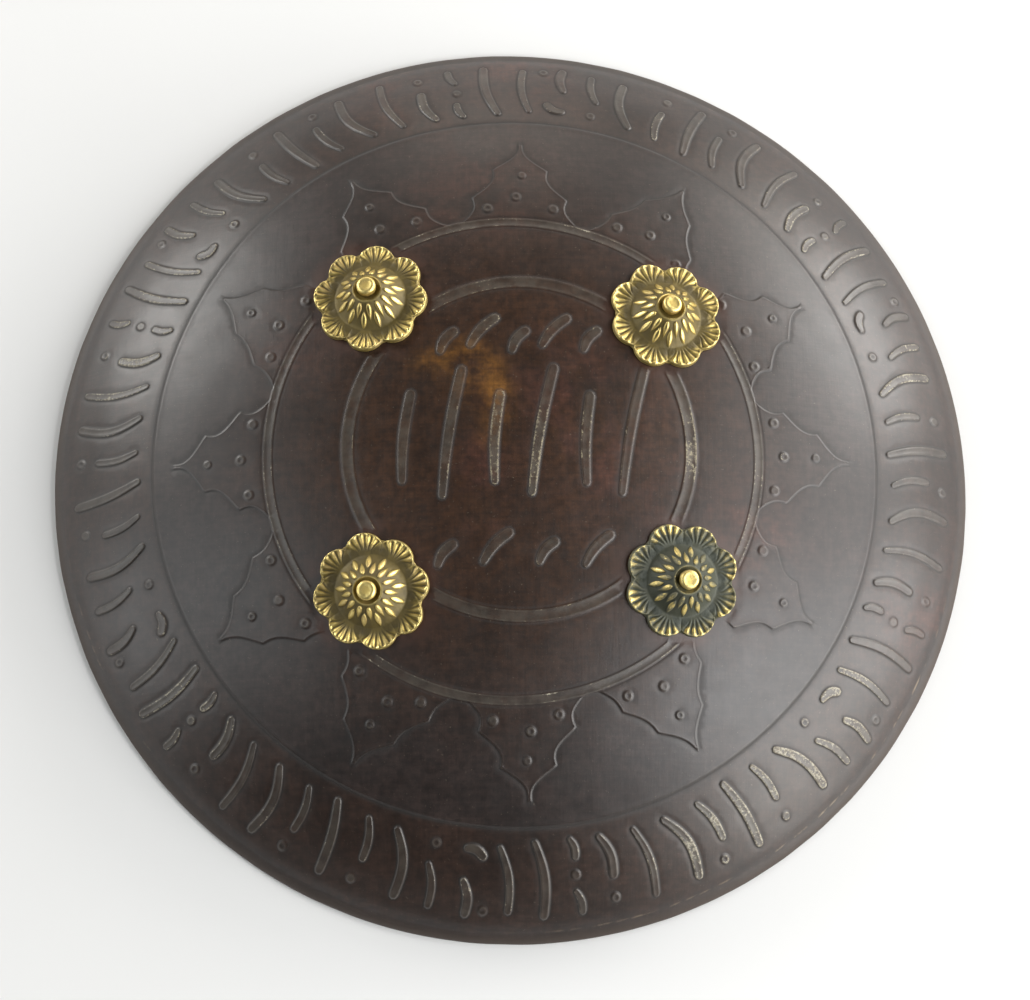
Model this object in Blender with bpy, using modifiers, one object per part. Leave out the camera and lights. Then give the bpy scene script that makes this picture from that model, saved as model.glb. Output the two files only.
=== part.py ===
# Round convex hide shield with four cast flower bosses, lying on its rim with the domed side up.
# Metres, +Z up. The origin is on the ground under the crown, and +Y is the shield's upper side.

import math

import bmesh
import bpy
from mathutils import Matrix, Vector

# The bowl
RIM_RADIUS = 0.2000        # outside of the rolled lip
CROWN_HEIGHT = 0.0735      # top of the bowl above the ground
BOWL_FULLNESS = 0.68       # exponent of the bowl's curve: 1 is a parabola, less is fuller at the edge
HIDE_THICKNESS = 0.0045    # at the crown and at the lip
LIP_HEIGHT = 0.0055        # rolled lip, from the ground up
LIP_PROUD = 0.0020         # how far the lip stands out from the foot of the bowl
LAND_WIDTH = 0.0019        # flat land under the lip, which the shield lies on

# The border band, from the rim inwards
BAND_WIDTH = 0.0456        # from the rim to the border line
BAND_CUT = 0.0006          # the band's ground lies this much below the field
BAND_MARGIN = 0.0040       # plain strip between the border line or the lip and the strokes

# Field: rays on the medallion's ring, and the inner ring
RAY_COUNT = 12
RAY_LENGTH = 0.0405        # from the medallion's ring to the ray's tip
RAY_TIP_GAP = 0.0104       # from the ray's tip to the border line
RAY_FOOT_SHARE = 0.97      # how much of the way to its nearer neighbour a ray's foot covers
RAY_WANDER = math.radians(2.2)    # how far the hand-laid rays stray from an even spacing
RAY_SCALLOPS = 3           # hollows along each side of a ray
SCALLOP_DEPTH = 0.0022
RAY_TIP_WIDTH = 0.0008
RAY_RISE = 0.0007
RING_GAP = 0.0314          # from the medallion's ring to the inner ring
FILLET_WIDTH = 0.0044      # raised rings
FILLET_RISE = 0.0010
MEDALLION_SHIFT = (-0.0019, -0.0009)   # the rings were drawn by hand, a little off centre
INNER_SHIFT = (0.0007, 0.0014)

# Strokes, which stand in rows where the real shield has its lettering
STROKE_WIDTH = 0.0044
STROKE_RISE = 0.0010
DEEP_BOW = 0.0025          # a stroke that bows more than this has one more section
SHORT_SHARE = 0.70         # length of every other stroke in a row of the middle
BAND_SECTORS = 36          # the band's marks repeat sector by sector
LEAN_STRAY = math.radians(4.0)    # how far hand-laid strokes stray from their row's lean
PLACE_STRAY = 0.02         # the same for their place in a sector
ROW_STRAY = 0.03           # the same for their height in a row of the middle
STRAY_STEP = 2.9           # how fast the stray swings from one stroke to the next

# Bosses: name, angle round the shield, stray outwards from midway between the two rings, turn of the petals
BOSS_PLACES = (
    ("upper_left", math.radians(132.3), 0.0035, math.radians(38.0)),
    ("upper_right", math.radians(43.0), -0.0011, math.radians(22.0)),
    ("lower_left", math.radians(223.8), -0.0024, math.radians(8.5)),
    ("lower_right", math.radians(320.6), -0.0005, math.radians(21.0)),
)
PETALS = 8
PETAL_REACH = 0.0092       # from the dome's foot to a petal's tip
PETAL_NOTCH = 0.0038       # depth of the notch between two petals
PETAL_EDGE = 0.0024        # height of a petal's raised edge over the hide
PETAL_HOLLOW = 0.0016      # height of a petal's hollow
GADROONS = 13
DOME_RADIUS = 0.0153       # foot of the gadrooned dome
DOME_HEIGHT = 0.0106       # top of the dome over the hide
GADROON_DEPTH = 0.0005
SEAT_CLEARANCE = 0.0015    # open groove between the stud's head and the wall of its sunk seat
SEAT_EDGE = 0.0006         # plain edge round the seat
SEAT_DEPTH = 0.0010
BOSS_WALL = 0.0018         # cast wall over the hollow back

# Studs
SHANK_RADIUS = 0.0020
HEAD_LAP = 0.0021          # how far the domed head stands out from the shank
HEAD_HEIGHT = 0.0046
TAIL_LAP = 0.0022          # the same of the clenched end behind the hide
TAIL_HEIGHT = 0.0015

# Clearance between two pieces, and faces round each turned shape
GAP = 0.0003
BOWL_STEPS = 44
RING_STEPS = 36
BOSS_STEPS = 12
STUD_STEPS = 8

WALL_RADIUS = RIM_RADIUS - LIP_PROUD
BORDER_RADIUS = RIM_RADIUS - BAND_WIDTH
RAY_TIP_RADIUS = BORDER_RADIUS - RAY_TIP_GAP
MEDALLION_RADIUS = RAY_TIP_RADIUS - RAY_LENGTH
INNER_RADIUS = MEDALLION_RADIUS - RING_GAP
BOSS_REACH = (MEDALLION_RADIUS + INNER_RADIUS) / 2.0
BOSS_RADIUS = DOME_RADIUS + PETAL_REACH
HEAD_RADIUS = SHANK_RADIUS + HEAD_LAP
TAIL_RADIUS = SHANK_RADIUS + TAIL_LAP
SEAT_RADIUS = HEAD_RADIUS + SEAT_CLEARANCE
DOME_BED = PETAL_EDGE / 3.0          # the dome's foot lies this deep in the petals' plate
ROOT_DEPTH = 0.45 * HIDE_THICKNESS   # how deep the relief is rooted in the hide
RAY_ROOT_DEPTH = 0.60 * HIDE_THICKNESS
FOOT_SINK = 0.0004                   # a soft edge starts this much below the surface


def bowl(radius, reach, crown):
    return crown * (1.0 - (radius / reach) ** 2) ** BOWL_FULLNESS


def outer_height(radius):
    return bowl(radius, WALL_RADIUS, CROWN_HEIGHT)


def inner_height(radius):
    return bowl(radius, WALL_RADIUS - HIDE_THICKNESS, CROWN_HEIGHT - HIDE_THICKNESS)


def radius_at_height(height):
    return WALL_RADIUS * math.sqrt(1.0 - (height / CROWN_HEIGHT) ** (1.0 / BOWL_FULLNESS))


def outer_slope(radius):
    step = 1e-5
    return (outer_height(radius + step) - outer_height(radius - step)) / (2.0 * step)


def hide_normal(x, y):
    radius = max(math.hypot(x, y), 1e-9)
    slope = outer_slope(radius)
    return Vector((-slope * x / radius, -slope * y / radius, 1.0)).normalized()


# Point over plan place (x, y), lifted off the field's surface along its normal
def hide_point(x, y, lift=0.0):
    return Vector((x, y, outer_height(math.hypot(x, y)))) + hide_normal(x, y) * lift


# Mean radius of the hide's curve where the bosses sit
def seat_curve_radius():
    step = 1e-4
    slope = outer_slope(BOSS_REACH)
    bend = (outer_slope(BOSS_REACH + step) - outer_slope(BOSS_REACH - step)) / (2.0 * step)
    along = -bend / (1.0 + slope * slope) ** 1.5
    across = -slope / (BOSS_REACH * math.sqrt(1.0 + slope * slope))
    return 2.0 / (along + across)


def polar(radius, angle, centre=(0.0, 0.0)):
    return centre[0] + radius * math.cos(angle), centre[1] + radius * math.sin(angle)


def clear_scene():
    for obj in list(bpy.data.objects):
        bpy.data.objects.remove(obj, do_unlink=True)


def new_collection(name, parent):
    collection = bpy.data.collections.new(name)
    parent.children.link(collection)
    return collection


def new_material(name, colour, roughness, metallic):
    material = bpy.data.materials.new(name)
    material.use_nodes = True
    shader = material.node_tree.nodes["Principled BSDF"]
    shader.inputs["Base Color"].default_value = (*colour, 1.0)
    shader.inputs["Roughness"].default_value = roughness
    shader.inputs["Metallic"].default_value = metallic
    return material


def add_object(name, mesh, collection):
    obj = bpy.data.objects.new(name, mesh)
    collection.objects.link(obj)
    return obj


def mark_cutter(obj):
    obj.hide_render = True
    obj.display_type = "WIRE"
    return obj


# Closed body through sections of equal point count: capped at both ends, or joined end to end
def loft(bm, sections, joined=False):
    rows = [[bm.verts.new(point) for point in section] for section in sections]
    count = len(rows[0])
    pairs = list(zip(rows, rows[1:]))
    if joined:
        pairs.append((rows[-1], rows[0]))
    else:
        bm.faces.new(rows[0])
        bm.faces.new(reversed(rows[-1]))
    for near, far in pairs:
        for i in range(count):
            j = (i + 1) % count
            bm.faces.new((near[j], near[i], far[i], far[j]))


# Wide sides are split where they are, because a twisted one would not meet its neighbours cleanly
def lofted_object(name, bodies, collection, joined=False, split=False):
    bm = bmesh.new()
    for sections in bodies:
        loft(bm, sections, joined)
    if split:
        bmesh.ops.triangulate(bm, faces=bm.faces)
    bmesh.ops.recalc_face_normals(bm, faces=bm.faces)
    mesh = bpy.data.meshes.new(name)
    bm.to_mesh(mesh)
    bm.free()
    return add_object(name, mesh, collection)


# Profile of (radius, height) points from the axis at the top round to the axis below, turned about Z
def turned_object(name, profile, steps, collection):
    mesh = bpy.data.meshes.new(name)
    edges = [(i, i + 1) for i in range(len(profile) - 1)]
    mesh.from_pydata([(radius, 0.0, height) for radius, height in profile], edges, [])
    obj = add_object(name, mesh, collection)
    screw = obj.modifiers.new("turn", "SCREW")
    screw.axis = "Z"
    screw.steps = steps
    screw.render_steps = steps
    screw.use_merge_vertices = True
    screw.merge_threshold = 0.00001
    return obj


# Many-sided cutter whose flats, not its corners, stand at the radius
def cylinder_object(name, radius, low, high, steps, collection):
    corner = radius / math.cos(math.pi / steps)
    bm = bmesh.new()
    bmesh.ops.create_cone(bm, cap_ends=True, segments=steps, radius1=corner, radius2=corner, depth=high - low)
    bmesh.ops.translate(bm, verts=bm.verts, vec=(0.0, 0.0, (high + low) / 2.0))
    mesh = bpy.data.meshes.new(name)
    bm.to_mesh(mesh)
    bm.free()
    return add_object(name, mesh, collection)


def add_boolean(obj, operation, operand):
    modifier = obj.modifiers.new(operation.lower(), "BOOLEAN")
    modifier.operation = operation
    modifier.solver = "EXACT"
    if isinstance(operand, bpy.types.Collection):
        modifier.operand_type = "COLLECTION"
        modifier.collection = operand
    else:
        modifier.object = operand


def evaluated_mesh(obj):
    bpy.context.view_layer.update()
    depsgraph = bpy.context.evaluated_depsgraph_get()
    return bpy.data.meshes.new_from_object(obj.evaluated_get(depsgraph))


def shade_round(mesh, crease_degrees):
    mesh.shade_smooth()
    mesh.set_sharp_from_angle(angle=math.radians(crease_degrees))


# Frame of a boss: on the hide, Z along the hide's normal, X turned to a petal's middle
def boss_matrix(angle, stray, turn):
    x, y = polar(BOSS_REACH + stray, angle)
    normal = hide_normal(x, y)
    swing = Vector((0.0, 0.0, 1.0)).rotation_difference(normal).to_matrix().to_4x4()
    return Matrix.Translation(hide_point(x, y)) @ swing @ Matrix.Rotation(turn, 4, "Z")


# Inside of the wall, from its foot up to the crown
def inside_profile(rings=5):
    foot = WALL_RADIUS - HIDE_THICKNESS
    radii = [foot * math.cos(math.pi / 2.0 * i / rings) for i in range(rings)] + [0.0]
    return [(radius, inner_height(radius)) for radius in radii]


# Outline of the hide's wall: over the field, down the step of the border line, over the band,
# round the lip, along the flat land under it, and back up inside
def bowl_profile(field_rings=6, band_rings=3, lip_points=4):
    lip_top = radius_at_height(LIP_HEIGHT + BAND_CUT)
    radii = [BORDER_RADIUS * i / field_rings for i in range(field_rings + 1)]
    points = [(radius, outer_height(radius)) for radius in radii]
    first = BORDER_RADIUS + BAND_CUT
    for i in range(band_rings):
        radius = first + (lip_top - first) * math.sin(math.pi / 2.0 * i / band_rings)
        points.append((radius, outer_height(radius) - BAND_CUT))
    land_edge = WALL_RADIUS - HIDE_THICKNESS + LAND_WIDTH
    for i in range(lip_points + 1):
        angle = math.pi / 2.0 - math.pi * i / lip_points
        start = lip_top if angle > 0.0 else land_edge
        points.append((start + (RIM_RADIUS - start) * math.cos(angle),
                       LIP_HEIGHT / 2.0 * (1.0 + math.sin(angle))))
    return points + inside_profile()


# Five-sided section of a soft ridge: left foot, crest, right foot, and two roots inside the hide
def ridge_section(x, y, along, half_width, ground, rise):
    side = (-along[1] * half_width, along[0] * half_width)
    left = (x + side[0], y + side[1])
    right = (x - side[0], y - side[1])
    return [hide_point(*left, ground - FOOT_SINK), hide_point(x, y, ground + rise),
            hide_point(*right, ground - FOOT_SINK), hide_point(*right, ground - ROOT_DEPTH),
            hide_point(*left, ground - ROOT_DEPTH)]


# Tapered stroke on the hide, curved to one side by its bow
def stroke(x, y, heading, length, bow, ground):
    stations = 4 if bow > DEEP_BOW else 3
    u = (math.cos(heading), math.sin(heading))
    sections = []
    for i in range(stations):
        t = i / (stations - 1) - 0.5
        side = bow * math.cos(math.pi * t)
        turn = -bow * math.pi * math.sin(math.pi * t)
        along = Vector((length * u[0] - turn * u[1], length * u[1] + turn * u[0])).normalized()
        fullness = 0.62 + 0.38 * math.cos(math.pi * t)
        place = (x + length * t * u[0] - side * u[1], y + length * t * u[1] + side * u[0])
        half_width = STROKE_WIDTH / 2.0 * fullness
        sections.append(ridge_section(*place, along, half_width, ground, STROKE_RISE * fullness))
    return sections


# Marks of one sector of the band: share of the sector, share of the band, length as a share of the
# band, lean from the radius in degrees, and bow in metres
BAND_MARKS = (
    ((0.26, 0.50, 0.92, 8.0, 0.0014),),
    ((0.27, 0.50, 0.84, 14.0, 0.0030),),
    ((0.26, 0.74, 0.46, 10.0, 0.0014), (0.34, 0.20, 0.30, 70.0, 0.0012)),
    ((0.26, 0.50, 0.94, 5.0, 0.0022),),
    ((0.24, 0.33, 0.56, 14.0, 0.0018),),
    ((0.27, 0.52, 0.88, 12.0, 0.0036),),
)


def band_place(sector, share, across):
    inside = BORDER_RADIUS + BAND_MARGIN
    outside = radius_at_height(LIP_HEIGHT + BAND_CUT) - BAND_MARGIN
    angle = 2.0 * math.pi * (sector + share) / BAND_SECTORS
    return inside + (outside - inside) * across, angle, outside - inside


def band_strokes():
    bodies = []
    for sector in range(BAND_SECTORS):
        stray = math.sin(STRAY_STEP * sector)
        for share, across, length, lean, bow in BAND_MARKS[sector % len(BAND_MARKS)]:
            radius, angle, width = band_place(sector, share + PLACE_STRAY * stray, across)
            x, y = polar(radius, angle)
            heading = angle + math.radians(lean) + LEAN_STRAY * stray
            bodies.append(stroke(x, y, heading, width * length, bow, -BAND_CUT))
    return bodies


# Three rows of leaning strokes inside the inner ring: how many, then the row's height, its half width and
# the length of a long stroke, all three as shares of the ring's radius, then lean in degrees and bow
CENTRE_ROWS = (
    (5, 0.66, 0.42, 0.26, 38.0, 0.0012),
    (6, 0.06, 0.66, 0.80, 7.0, 0.0012),
    (4, -0.62, 0.44, 0.26, 40.0, 0.0012),
)


def centre_strokes():
    bodies = []
    for count, height, half, length, lean, bow in CENTRE_ROWS:
        for i in range(count):
            stray = math.sin(STRAY_STEP * i + count)
            size = INNER_RADIUS * length * (1.0 if i % 2 else SHORT_SHARE)
            x = INNER_SHIFT[0] + INNER_RADIUS * half * (2.0 * i / (count - 1) - 1.0)
            y = INNER_SHIFT[1] + INNER_RADIUS * (height + ROW_STRAY * stray)
            heading = math.radians(90.0 - lean) - LEAN_STRAY * stray
            bodies.append(stroke(x, y, heading, size, bow, 0.0))
    return bodies


def ring_fillet(radius, centre):
    sections = []
    for i in range(RING_STEPS):
        angle = 2.0 * math.pi * i / RING_STEPS
        section = []
        for offset, lift in ((-0.5, -ROOT_DEPTH), (-0.5, -FOOT_SINK), (-0.22, FILLET_RISE),
                             (0.22, FILLET_RISE), (0.5, -FOOT_SINK), (0.5, -ROOT_DEPTH)):
            section.append(hide_point(*polar(radius + offset * FILLET_WIDTH, angle, centre), lift))
        sections.append(section)
    return sections


def ray_angle(index):
    even = 2.0 * math.pi * index / RAY_COUNT
    return even - RAY_WANDER * math.sin(even)


# Half the angle that a ray's foot covers
def ray_foot(index):
    to_last = ray_angle(index) - ray_angle(index - 1)
    to_next = ray_angle(index + 1) - ray_angle(index)
    return RAY_FOOT_SHARE * min(to_last, to_next) / 2.0


def ray(index, steps=2 * RAY_SCALLOPS):
    middle = ray_angle(index)
    foot = ray_foot(index)
    sections = []
    for i in range(steps + 1):
        share = i / steps
        radius = MEDALLION_RADIUS + RAY_LENGTH * share
        hollow = SCALLOP_DEPTH * abs(math.sin(math.pi * RAY_SCALLOPS * share))
        half = max(foot * (1.0 - share) - hollow / radius, RAY_TIP_WIDTH / 2.0 / radius)
        places = [polar(radius, middle + half * side, MEDALLION_SHIFT) for side in (-1.0, 0.0, 1.0)]
        top = [hide_point(*place, RAY_RISE) for place in places]
        root = [hide_point(*place, -RAY_ROOT_DEPTH) for place in reversed(places)]
        sections.append(top + root)
    return sections


# The rays stand on the medallion's ring, so the two are one form before the bosses' places are cut out
def make_relief(relief, cutters, clearances):
    rings = [ring_fillet(MEDALLION_RADIUS, MEDALLION_SHIFT), ring_fillet(INNER_RADIUS, INNER_SHIFT)]
    medallion = lofted_object("medallion", rings, relief, joined=True)
    rays = lofted_object("rays", [ray(i) for i in range(RAY_COUNT)], cutters, split=True)
    add_boolean(medallion, "UNION", mark_cutter(rays))
    lofted_object("band_strokes", band_strokes(), relief)
    lofted_object("centre_strokes", centre_strokes(), relief)
    for obj in relief.objects:
        add_boolean(mark_cutter(obj), "DIFFERENCE", clearances)


# The hide under each boss stays plain, and has a hole for the stud's shank
def make_boss_cutters(clearances, holes):
    deep = BOSS_RADIUS / 2.0
    for name, angle, stray, turn in BOSS_PLACES:
        frame = boss_matrix(angle, stray, turn)
        clearance = cylinder_object("clearance_" + name, BOSS_RADIUS + GAP, -deep, deep,
                                    2 * BOSS_STEPS, clearances)
        hole = cylinder_object("hole_" + name, SHANK_RADIUS + GAP, -deep, deep, STUD_STEPS, holes)
        for cutter in (clearance, hole):
            mark_cutter(cutter).matrix_world = frame


def make_dish(parts, cutters):
    clearances = new_collection("boss_clearances", cutters)
    holes = new_collection("shank_holes", cutters)
    relief = new_collection("relief", cutters)
    make_boss_cutters(clearances, holes)
    make_relief(relief, cutters, clearances)
    dish = turned_object("hide_dish", bowl_profile(), BOWL_STEPS, parts)
    for obj in relief.objects:
        add_boolean(dish, "UNION", obj)
    add_boolean(dish, "DIFFERENCE", holes)
    dish.data.materials.append(new_material("lacquered_hide", (0.060, 0.045, 0.040), 0.42, 0.0))
    return dish


# Height of the hide's curve under a boss, below the plane that touches it at the boss's middle
def seat_drop(radius):
    curve = seat_curve_radius()
    return math.sqrt(curve * curve - radius * radius) - curve


def petal_radius(angle):
    share = (angle * PETALS / (2.0 * math.pi) + 0.5) % 1.0 - 0.5
    return BOSS_RADIUS - PETAL_NOTCH * abs(2.0 * share) ** 3


def petal_height(angle, middle, notch):
    share = (angle * PETALS / (2.0 * math.pi) + 0.5) % 1.0 - 0.5
    return notch + (middle - notch) * math.cos(math.pi * share) ** 0.7


# Flower plate of a boss, ring by ring: its underside on the hide, out to the petals' tips, over their
# raised edge and hollow, and back in under the dome. A ring is its share of the way from under the dome
# to the tips, and its height over the hide in a petal's middle and in the notch.
def petal_plate(per_petal=4):
    inside = DOME_RADIUS - DOME_BED
    bed_top = 2.0 * DOME_BED
    rings = []
    for share, middle, notch in ((0.0, 0.0, 0.0), (1.0, 0.0, 0.0), (1.0, PETAL_EDGE, DOME_BED),
                                 (0.55, PETAL_HOLLOW, DOME_BED), (0.0, bed_top, bed_top)):
        ring = []
        for k in range(PETALS * per_petal):
            angle = 2.0 * math.pi * k / (PETALS * per_petal)
            radius = inside + (petal_radius(angle) - inside) * share
            height = seat_drop(radius) + GAP + petal_height(angle, middle, notch)
            ring.append(Vector((*polar(radius, angle), height)))
        rings.append(ring)
    return rings


# Gadrooned dome, ring by ring: share of the way out from the seat's edge, share of the height and
# how much of the gadroons shows. Every second point of a ring stands out, square to the dome's slope.
def gadroon_dome():
    count = 2 * GADROONS
    top = SEAT_RADIUS + SEAT_EDGE
    bed = seat_drop(DOME_RADIUS) + GAP + DOME_BED
    rings = []
    for share, rise, fluting in ((1.0, 0.0, 0.0), (0.90, 0.28, 1.0), (0.52, 0.74, 1.0), (0.0, 1.0, 0.0)):
        ring = []
        for k in range(count):
            swell = GADROON_DEPTH * fluting * math.sqrt(0.5) * (1.0 if k % 2 else -1.0)
            radius = top + (DOME_RADIUS - top) * share + swell
            height = bed + (DOME_HEIGHT - bed) * rise + swell
            ring.append(Vector((*polar(radius, 2.0 * math.pi * k / count), height)))
        rings.append(ring)
    return rings


def make_boss_mesh(cutters):
    workshop = new_collection("boss_forms", cutters)
    plate = lofted_object("boss_plate", [petal_plate()], workshop)
    dome = lofted_object("boss_dome", [gadroon_dome()], workshop)
    back = DOME_RADIUS - BOSS_WALL
    under_seat = DOME_HEIGHT - SEAT_DEPTH - BOSS_WALL
    hollow = turned_object("boss_hollow", [(0.0, under_seat), (back / 2.0, under_seat), (back, DOME_BED),
                                           (back, -BOSS_WALL), (0.0, -BOSS_WALL)], BOSS_STEPS, workshop)
    seat = cylinder_object("boss_seat", SEAT_RADIUS, DOME_HEIGHT - SEAT_DEPTH, DOME_HEIGHT + SEAT_DEPTH,
                           BOSS_STEPS, workshop)
    bore = cylinder_object("boss_bore", SHANK_RADIUS + GAP, 0.0, DOME_HEIGHT + SEAT_DEPTH, STUD_STEPS, workshop)
    add_boolean(plate, "UNION", dome)
    for cutter in (hollow, seat, bore):
        add_boolean(plate, "DIFFERENCE", cutter)
    for form in (plate, dome, hollow, seat, bore):
        mark_cutter(form)
    mesh = evaluated_mesh(plate)
    mesh.name = "flower_boss"
    shade_round(mesh, 40.0)
    return mesh


# Depth of the hide along its normal at a reach from the middle, down to the inside's straight runs
def hide_depth(reach):
    points = inside_profile()
    for (far, low), (near, high) in zip(points, points[1:]):
        if near <= reach <= far:
            inside = high + (low - high) * (reach - near) / (far - near)
    slope = outer_slope(reach)
    return (outer_height(reach) - inside) / math.sqrt(1.0 + slope * slope)


# Outline of a stud: its domed head, its shank through boss and hide, and the clenched end behind them
def stud_profile(reach, head_points=3):
    under_head = DOME_HEIGHT - SEAT_DEPTH + GAP
    tail = -hide_depth(reach) - GAP
    shoulder = under_head + HEAD_HEIGHT * 0.45
    profile = [(0.0, under_head + HEAD_HEIGHT)]
    for i in range(1, head_points + 1):
        angle = math.pi / 2.0 * i / head_points
        height = shoulder + (under_head + HEAD_HEIGHT - shoulder) * math.cos(angle)
        profile.append((HEAD_RADIUS * math.sin(angle), height))
    profile += [(HEAD_RADIUS, under_head), (SHANK_RADIUS, under_head), (SHANK_RADIUS, tail)]
    profile += [(TAIL_RADIUS, tail), (TAIL_RADIUS * 0.8, tail - TAIL_HEIGHT * 0.7), (0.0, tail - TAIL_HEIGHT)]
    return profile


def make_bosses(parts, cutters):
    boss_mesh = make_boss_mesh(cutters)
    for name, angle, stray, turn in BOSS_PLACES:
        frame = boss_matrix(angle, stray, turn)
        boss = add_object("boss_" + name, boss_mesh.copy(), parts)
        boss.matrix_world = frame
        boss.data.materials.append(new_material("brass_boss_" + name, (0.55, 0.42, 0.14), 0.32, 1.0))
        stud = turned_object("stud_" + name, stud_profile(BOSS_REACH + stray), STUD_STEPS, parts)
        stud.matrix_world = frame
        stud.data.materials.append(new_material("brass_stud_" + name, (0.66, 0.52, 0.18), 0.28, 1.0))


def main():
    clear_scene()
    scene_root = bpy.context.scene.collection
    parts = new_collection("dhal_shield", scene_root)
    cutters = new_collection("cutters", scene_root)
    make_dish(parts, cutters)
    make_bosses(parts, cutters)


main()
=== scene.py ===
import math

import bpy
import numpy as np
from mathutils import Matrix, Vector, kdtree, noise
from mathutils.geometry import delaunay_2d_cdt, interpolate_bezier


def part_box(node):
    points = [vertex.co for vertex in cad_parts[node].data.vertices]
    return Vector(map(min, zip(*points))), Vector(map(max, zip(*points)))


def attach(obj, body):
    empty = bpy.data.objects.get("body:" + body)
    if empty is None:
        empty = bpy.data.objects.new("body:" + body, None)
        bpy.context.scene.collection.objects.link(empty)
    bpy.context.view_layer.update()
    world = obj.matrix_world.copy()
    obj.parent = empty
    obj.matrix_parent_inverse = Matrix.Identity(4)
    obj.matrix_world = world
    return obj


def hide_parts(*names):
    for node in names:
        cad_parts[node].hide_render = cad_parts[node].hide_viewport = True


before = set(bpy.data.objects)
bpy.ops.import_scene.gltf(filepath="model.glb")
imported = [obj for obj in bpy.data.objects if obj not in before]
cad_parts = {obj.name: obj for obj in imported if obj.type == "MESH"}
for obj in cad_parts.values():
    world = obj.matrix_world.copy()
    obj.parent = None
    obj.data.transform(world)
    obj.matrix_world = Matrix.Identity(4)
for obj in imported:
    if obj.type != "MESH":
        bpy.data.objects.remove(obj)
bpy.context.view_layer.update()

# Round lacquered hide shield with four cast brass flower bosses, lying on its rim.
# Metres, +Z up out of the domed front, +Y towards the shield's upper side.
mm = 0.001
fullTurn = 2.0 * math.pi


def clearSelection():
    bpy.ops.object.select_all(action="DESELECT")


def makeActive(piece):
    clearSelection()
    piece.select_set(True)
    bpy.context.view_layer.objects.active = piece


def editAll(piece):
    makeActive(piece)
    bpy.ops.object.mode_set(mode="EDIT")
    bpy.ops.mesh.select_all(action="SELECT")


# Merges doubles, turns the faces outwards and leaves edit mode
def closeUp(threshold):
    bpy.ops.mesh.select_all(action="SELECT")
    bpy.ops.mesh.remove_doubles(threshold=threshold)
    bpy.ops.mesh.normals_make_consistent(inside=False)
    bpy.ops.object.mode_set(mode="OBJECT")


def readPlaces(mesh):
    places = np.zeros(len(mesh.vertices) * 3)
    mesh.vertices.foreach_get("co", places)
    return places.reshape(-1, 3)


def writePlaces(mesh, places):
    mesh.vertices.foreach_set("co", places.ravel())
    mesh.update()


def store(mesh, **masks):
    for name, values in masks.items():
        attribute = mesh.attributes.new(name, "FLOAT", "POINT")
        attribute.data.foreach_set("value", np.asarray(values, np.float32))


def smooth(low, high, value):
    share = np.clip((value - low) / (high - low), 0.0, 1.0)
    return share * share * (3.0 - 2.0 * share)


def hump(middle, width, value):
    return np.exp(-((value - middle) / width) ** 2)


# Soft strip, given as its amount, place and width
def strip(form, value):
    amount, place, width = form
    return amount * hump(place, width, value)


def raiseTo(values, wanted, rows=slice(None)):
    values[rows] = np.maximum(values[rows], wanted)


def polarPoints(radius, angle, centre=(0.0, 0.0)):
    return np.stack([centre[0] + radius * np.cos(angle), centre[1] + radius * np.sin(angle)], axis=-1)


# Reach and bearing of points from a middle of their own
def polarPlaces(points, middle=(0.0, 0.0)):
    away = points[:, :2] - np.array(middle)
    return np.hypot(away[:, 0], away[:, 1]), np.arctan2(away[:, 1], away[:, 0])


# Sum of noises: scale, share and seed of each
def noiseAt(points, layers, seed=0.0):
    total = 0.0
    for scale, share, own in layers:
        own += seed
        drawn = [noise.noise((x * scale + own, y * scale - own, z * scale + 2.0 * own)) for x, y, z in points]
        total = total + share * np.array(drawn)
    return total


# Nearest distance from each point to a line of points, and how far along it
def distanceToLine(points, line):
    start, run = line[:-1], line[1:] - line[:-1]
    offset = points[:, None, :] - start[None, :, :]
    share = np.clip((offset * run).sum(2) / (run * run).sum(1), 0.0, 1.0)
    gap = np.linalg.norm(offset - run * share[:, :, None], axis=2)
    nearest = gap.argmin(axis=1)
    rows = np.arange(len(points))
    return gap[rows, nearest], nearest + share[rows, nearest]


hide = {
    # Sizes of the solid that it stands for
    "rim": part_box("hide_dish")[1].x, "crown": 0.0735, "fullness": 0.68, "thickness": 0.0045,
    "lipHeight": 0.0055, "lipProud": 0.0020, "landWidth": 0.0019,
    "bandWidth": 0.0456, "bandCut": 0.0006, "bandMargin": 0.0040,
    # Faces round the lip and the inside, along the lip, and up the inside
    "turns": 360, "lipPoints": 8, "insideRings": 20,
    # Plain net between the relief's lines: spacing, how far a point strays, how much of that is left at the
    # edge, and how clear of the lines it stays
    "netStep": 2.3 * mm, "netJitter": 0.24, "edgeJitter": 0.6, "netClear": 0.95 * mm, "seed": 11,
    "lipWidest": 0.0017,                           # height at which the lip is widest
    "shoulder": (1.6 * mm, 1.5 * mm),              # how straight the lip's curve leaves and arrives
    "lipSwell": 1.8 * mm, "flare": 11.0 * mm,      # how far the edge swells up, and over what width
    "plainEdge": (2.4 * mm, 0.9 * mm),             # from the lip inwards, where the relief fades
    # Slow unevenness of the pressed hide, front and back: height, and scale, share and seed of each noise
    "swell": 0.13 * mm, "swells": ((26.0, 1.0, 0.0), (75.0, 0.45, 5.0), (230.0, 0.16, 9.0)),
    "swellEnd": 4.0 * mm,
    "backSwell": 0.25 * mm, "backSwells": ((38.0, 1.0, 21.0),), "backClear": (1.5 * mm, 2.0 * mm),
    # How far the hand-cut edge strays inwards: mean share, waves as share, count and phase, and noise
    "trim": 0.5 * mm, "trimMean": 0.5, "trimWaves": ((0.3, 2.0, 0.6), (0.2, 5.0, 1.9)),
    "trimNoise": ((14.0, 0.35, 3.0),), "trimMost": 1.4, "trimFrom": 0.75,
}
wall = hide["rim"] - hide["lipProud"]
foot = wall - hide["thickness"]
border = hide["rim"] - hide["bandWidth"]
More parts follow.
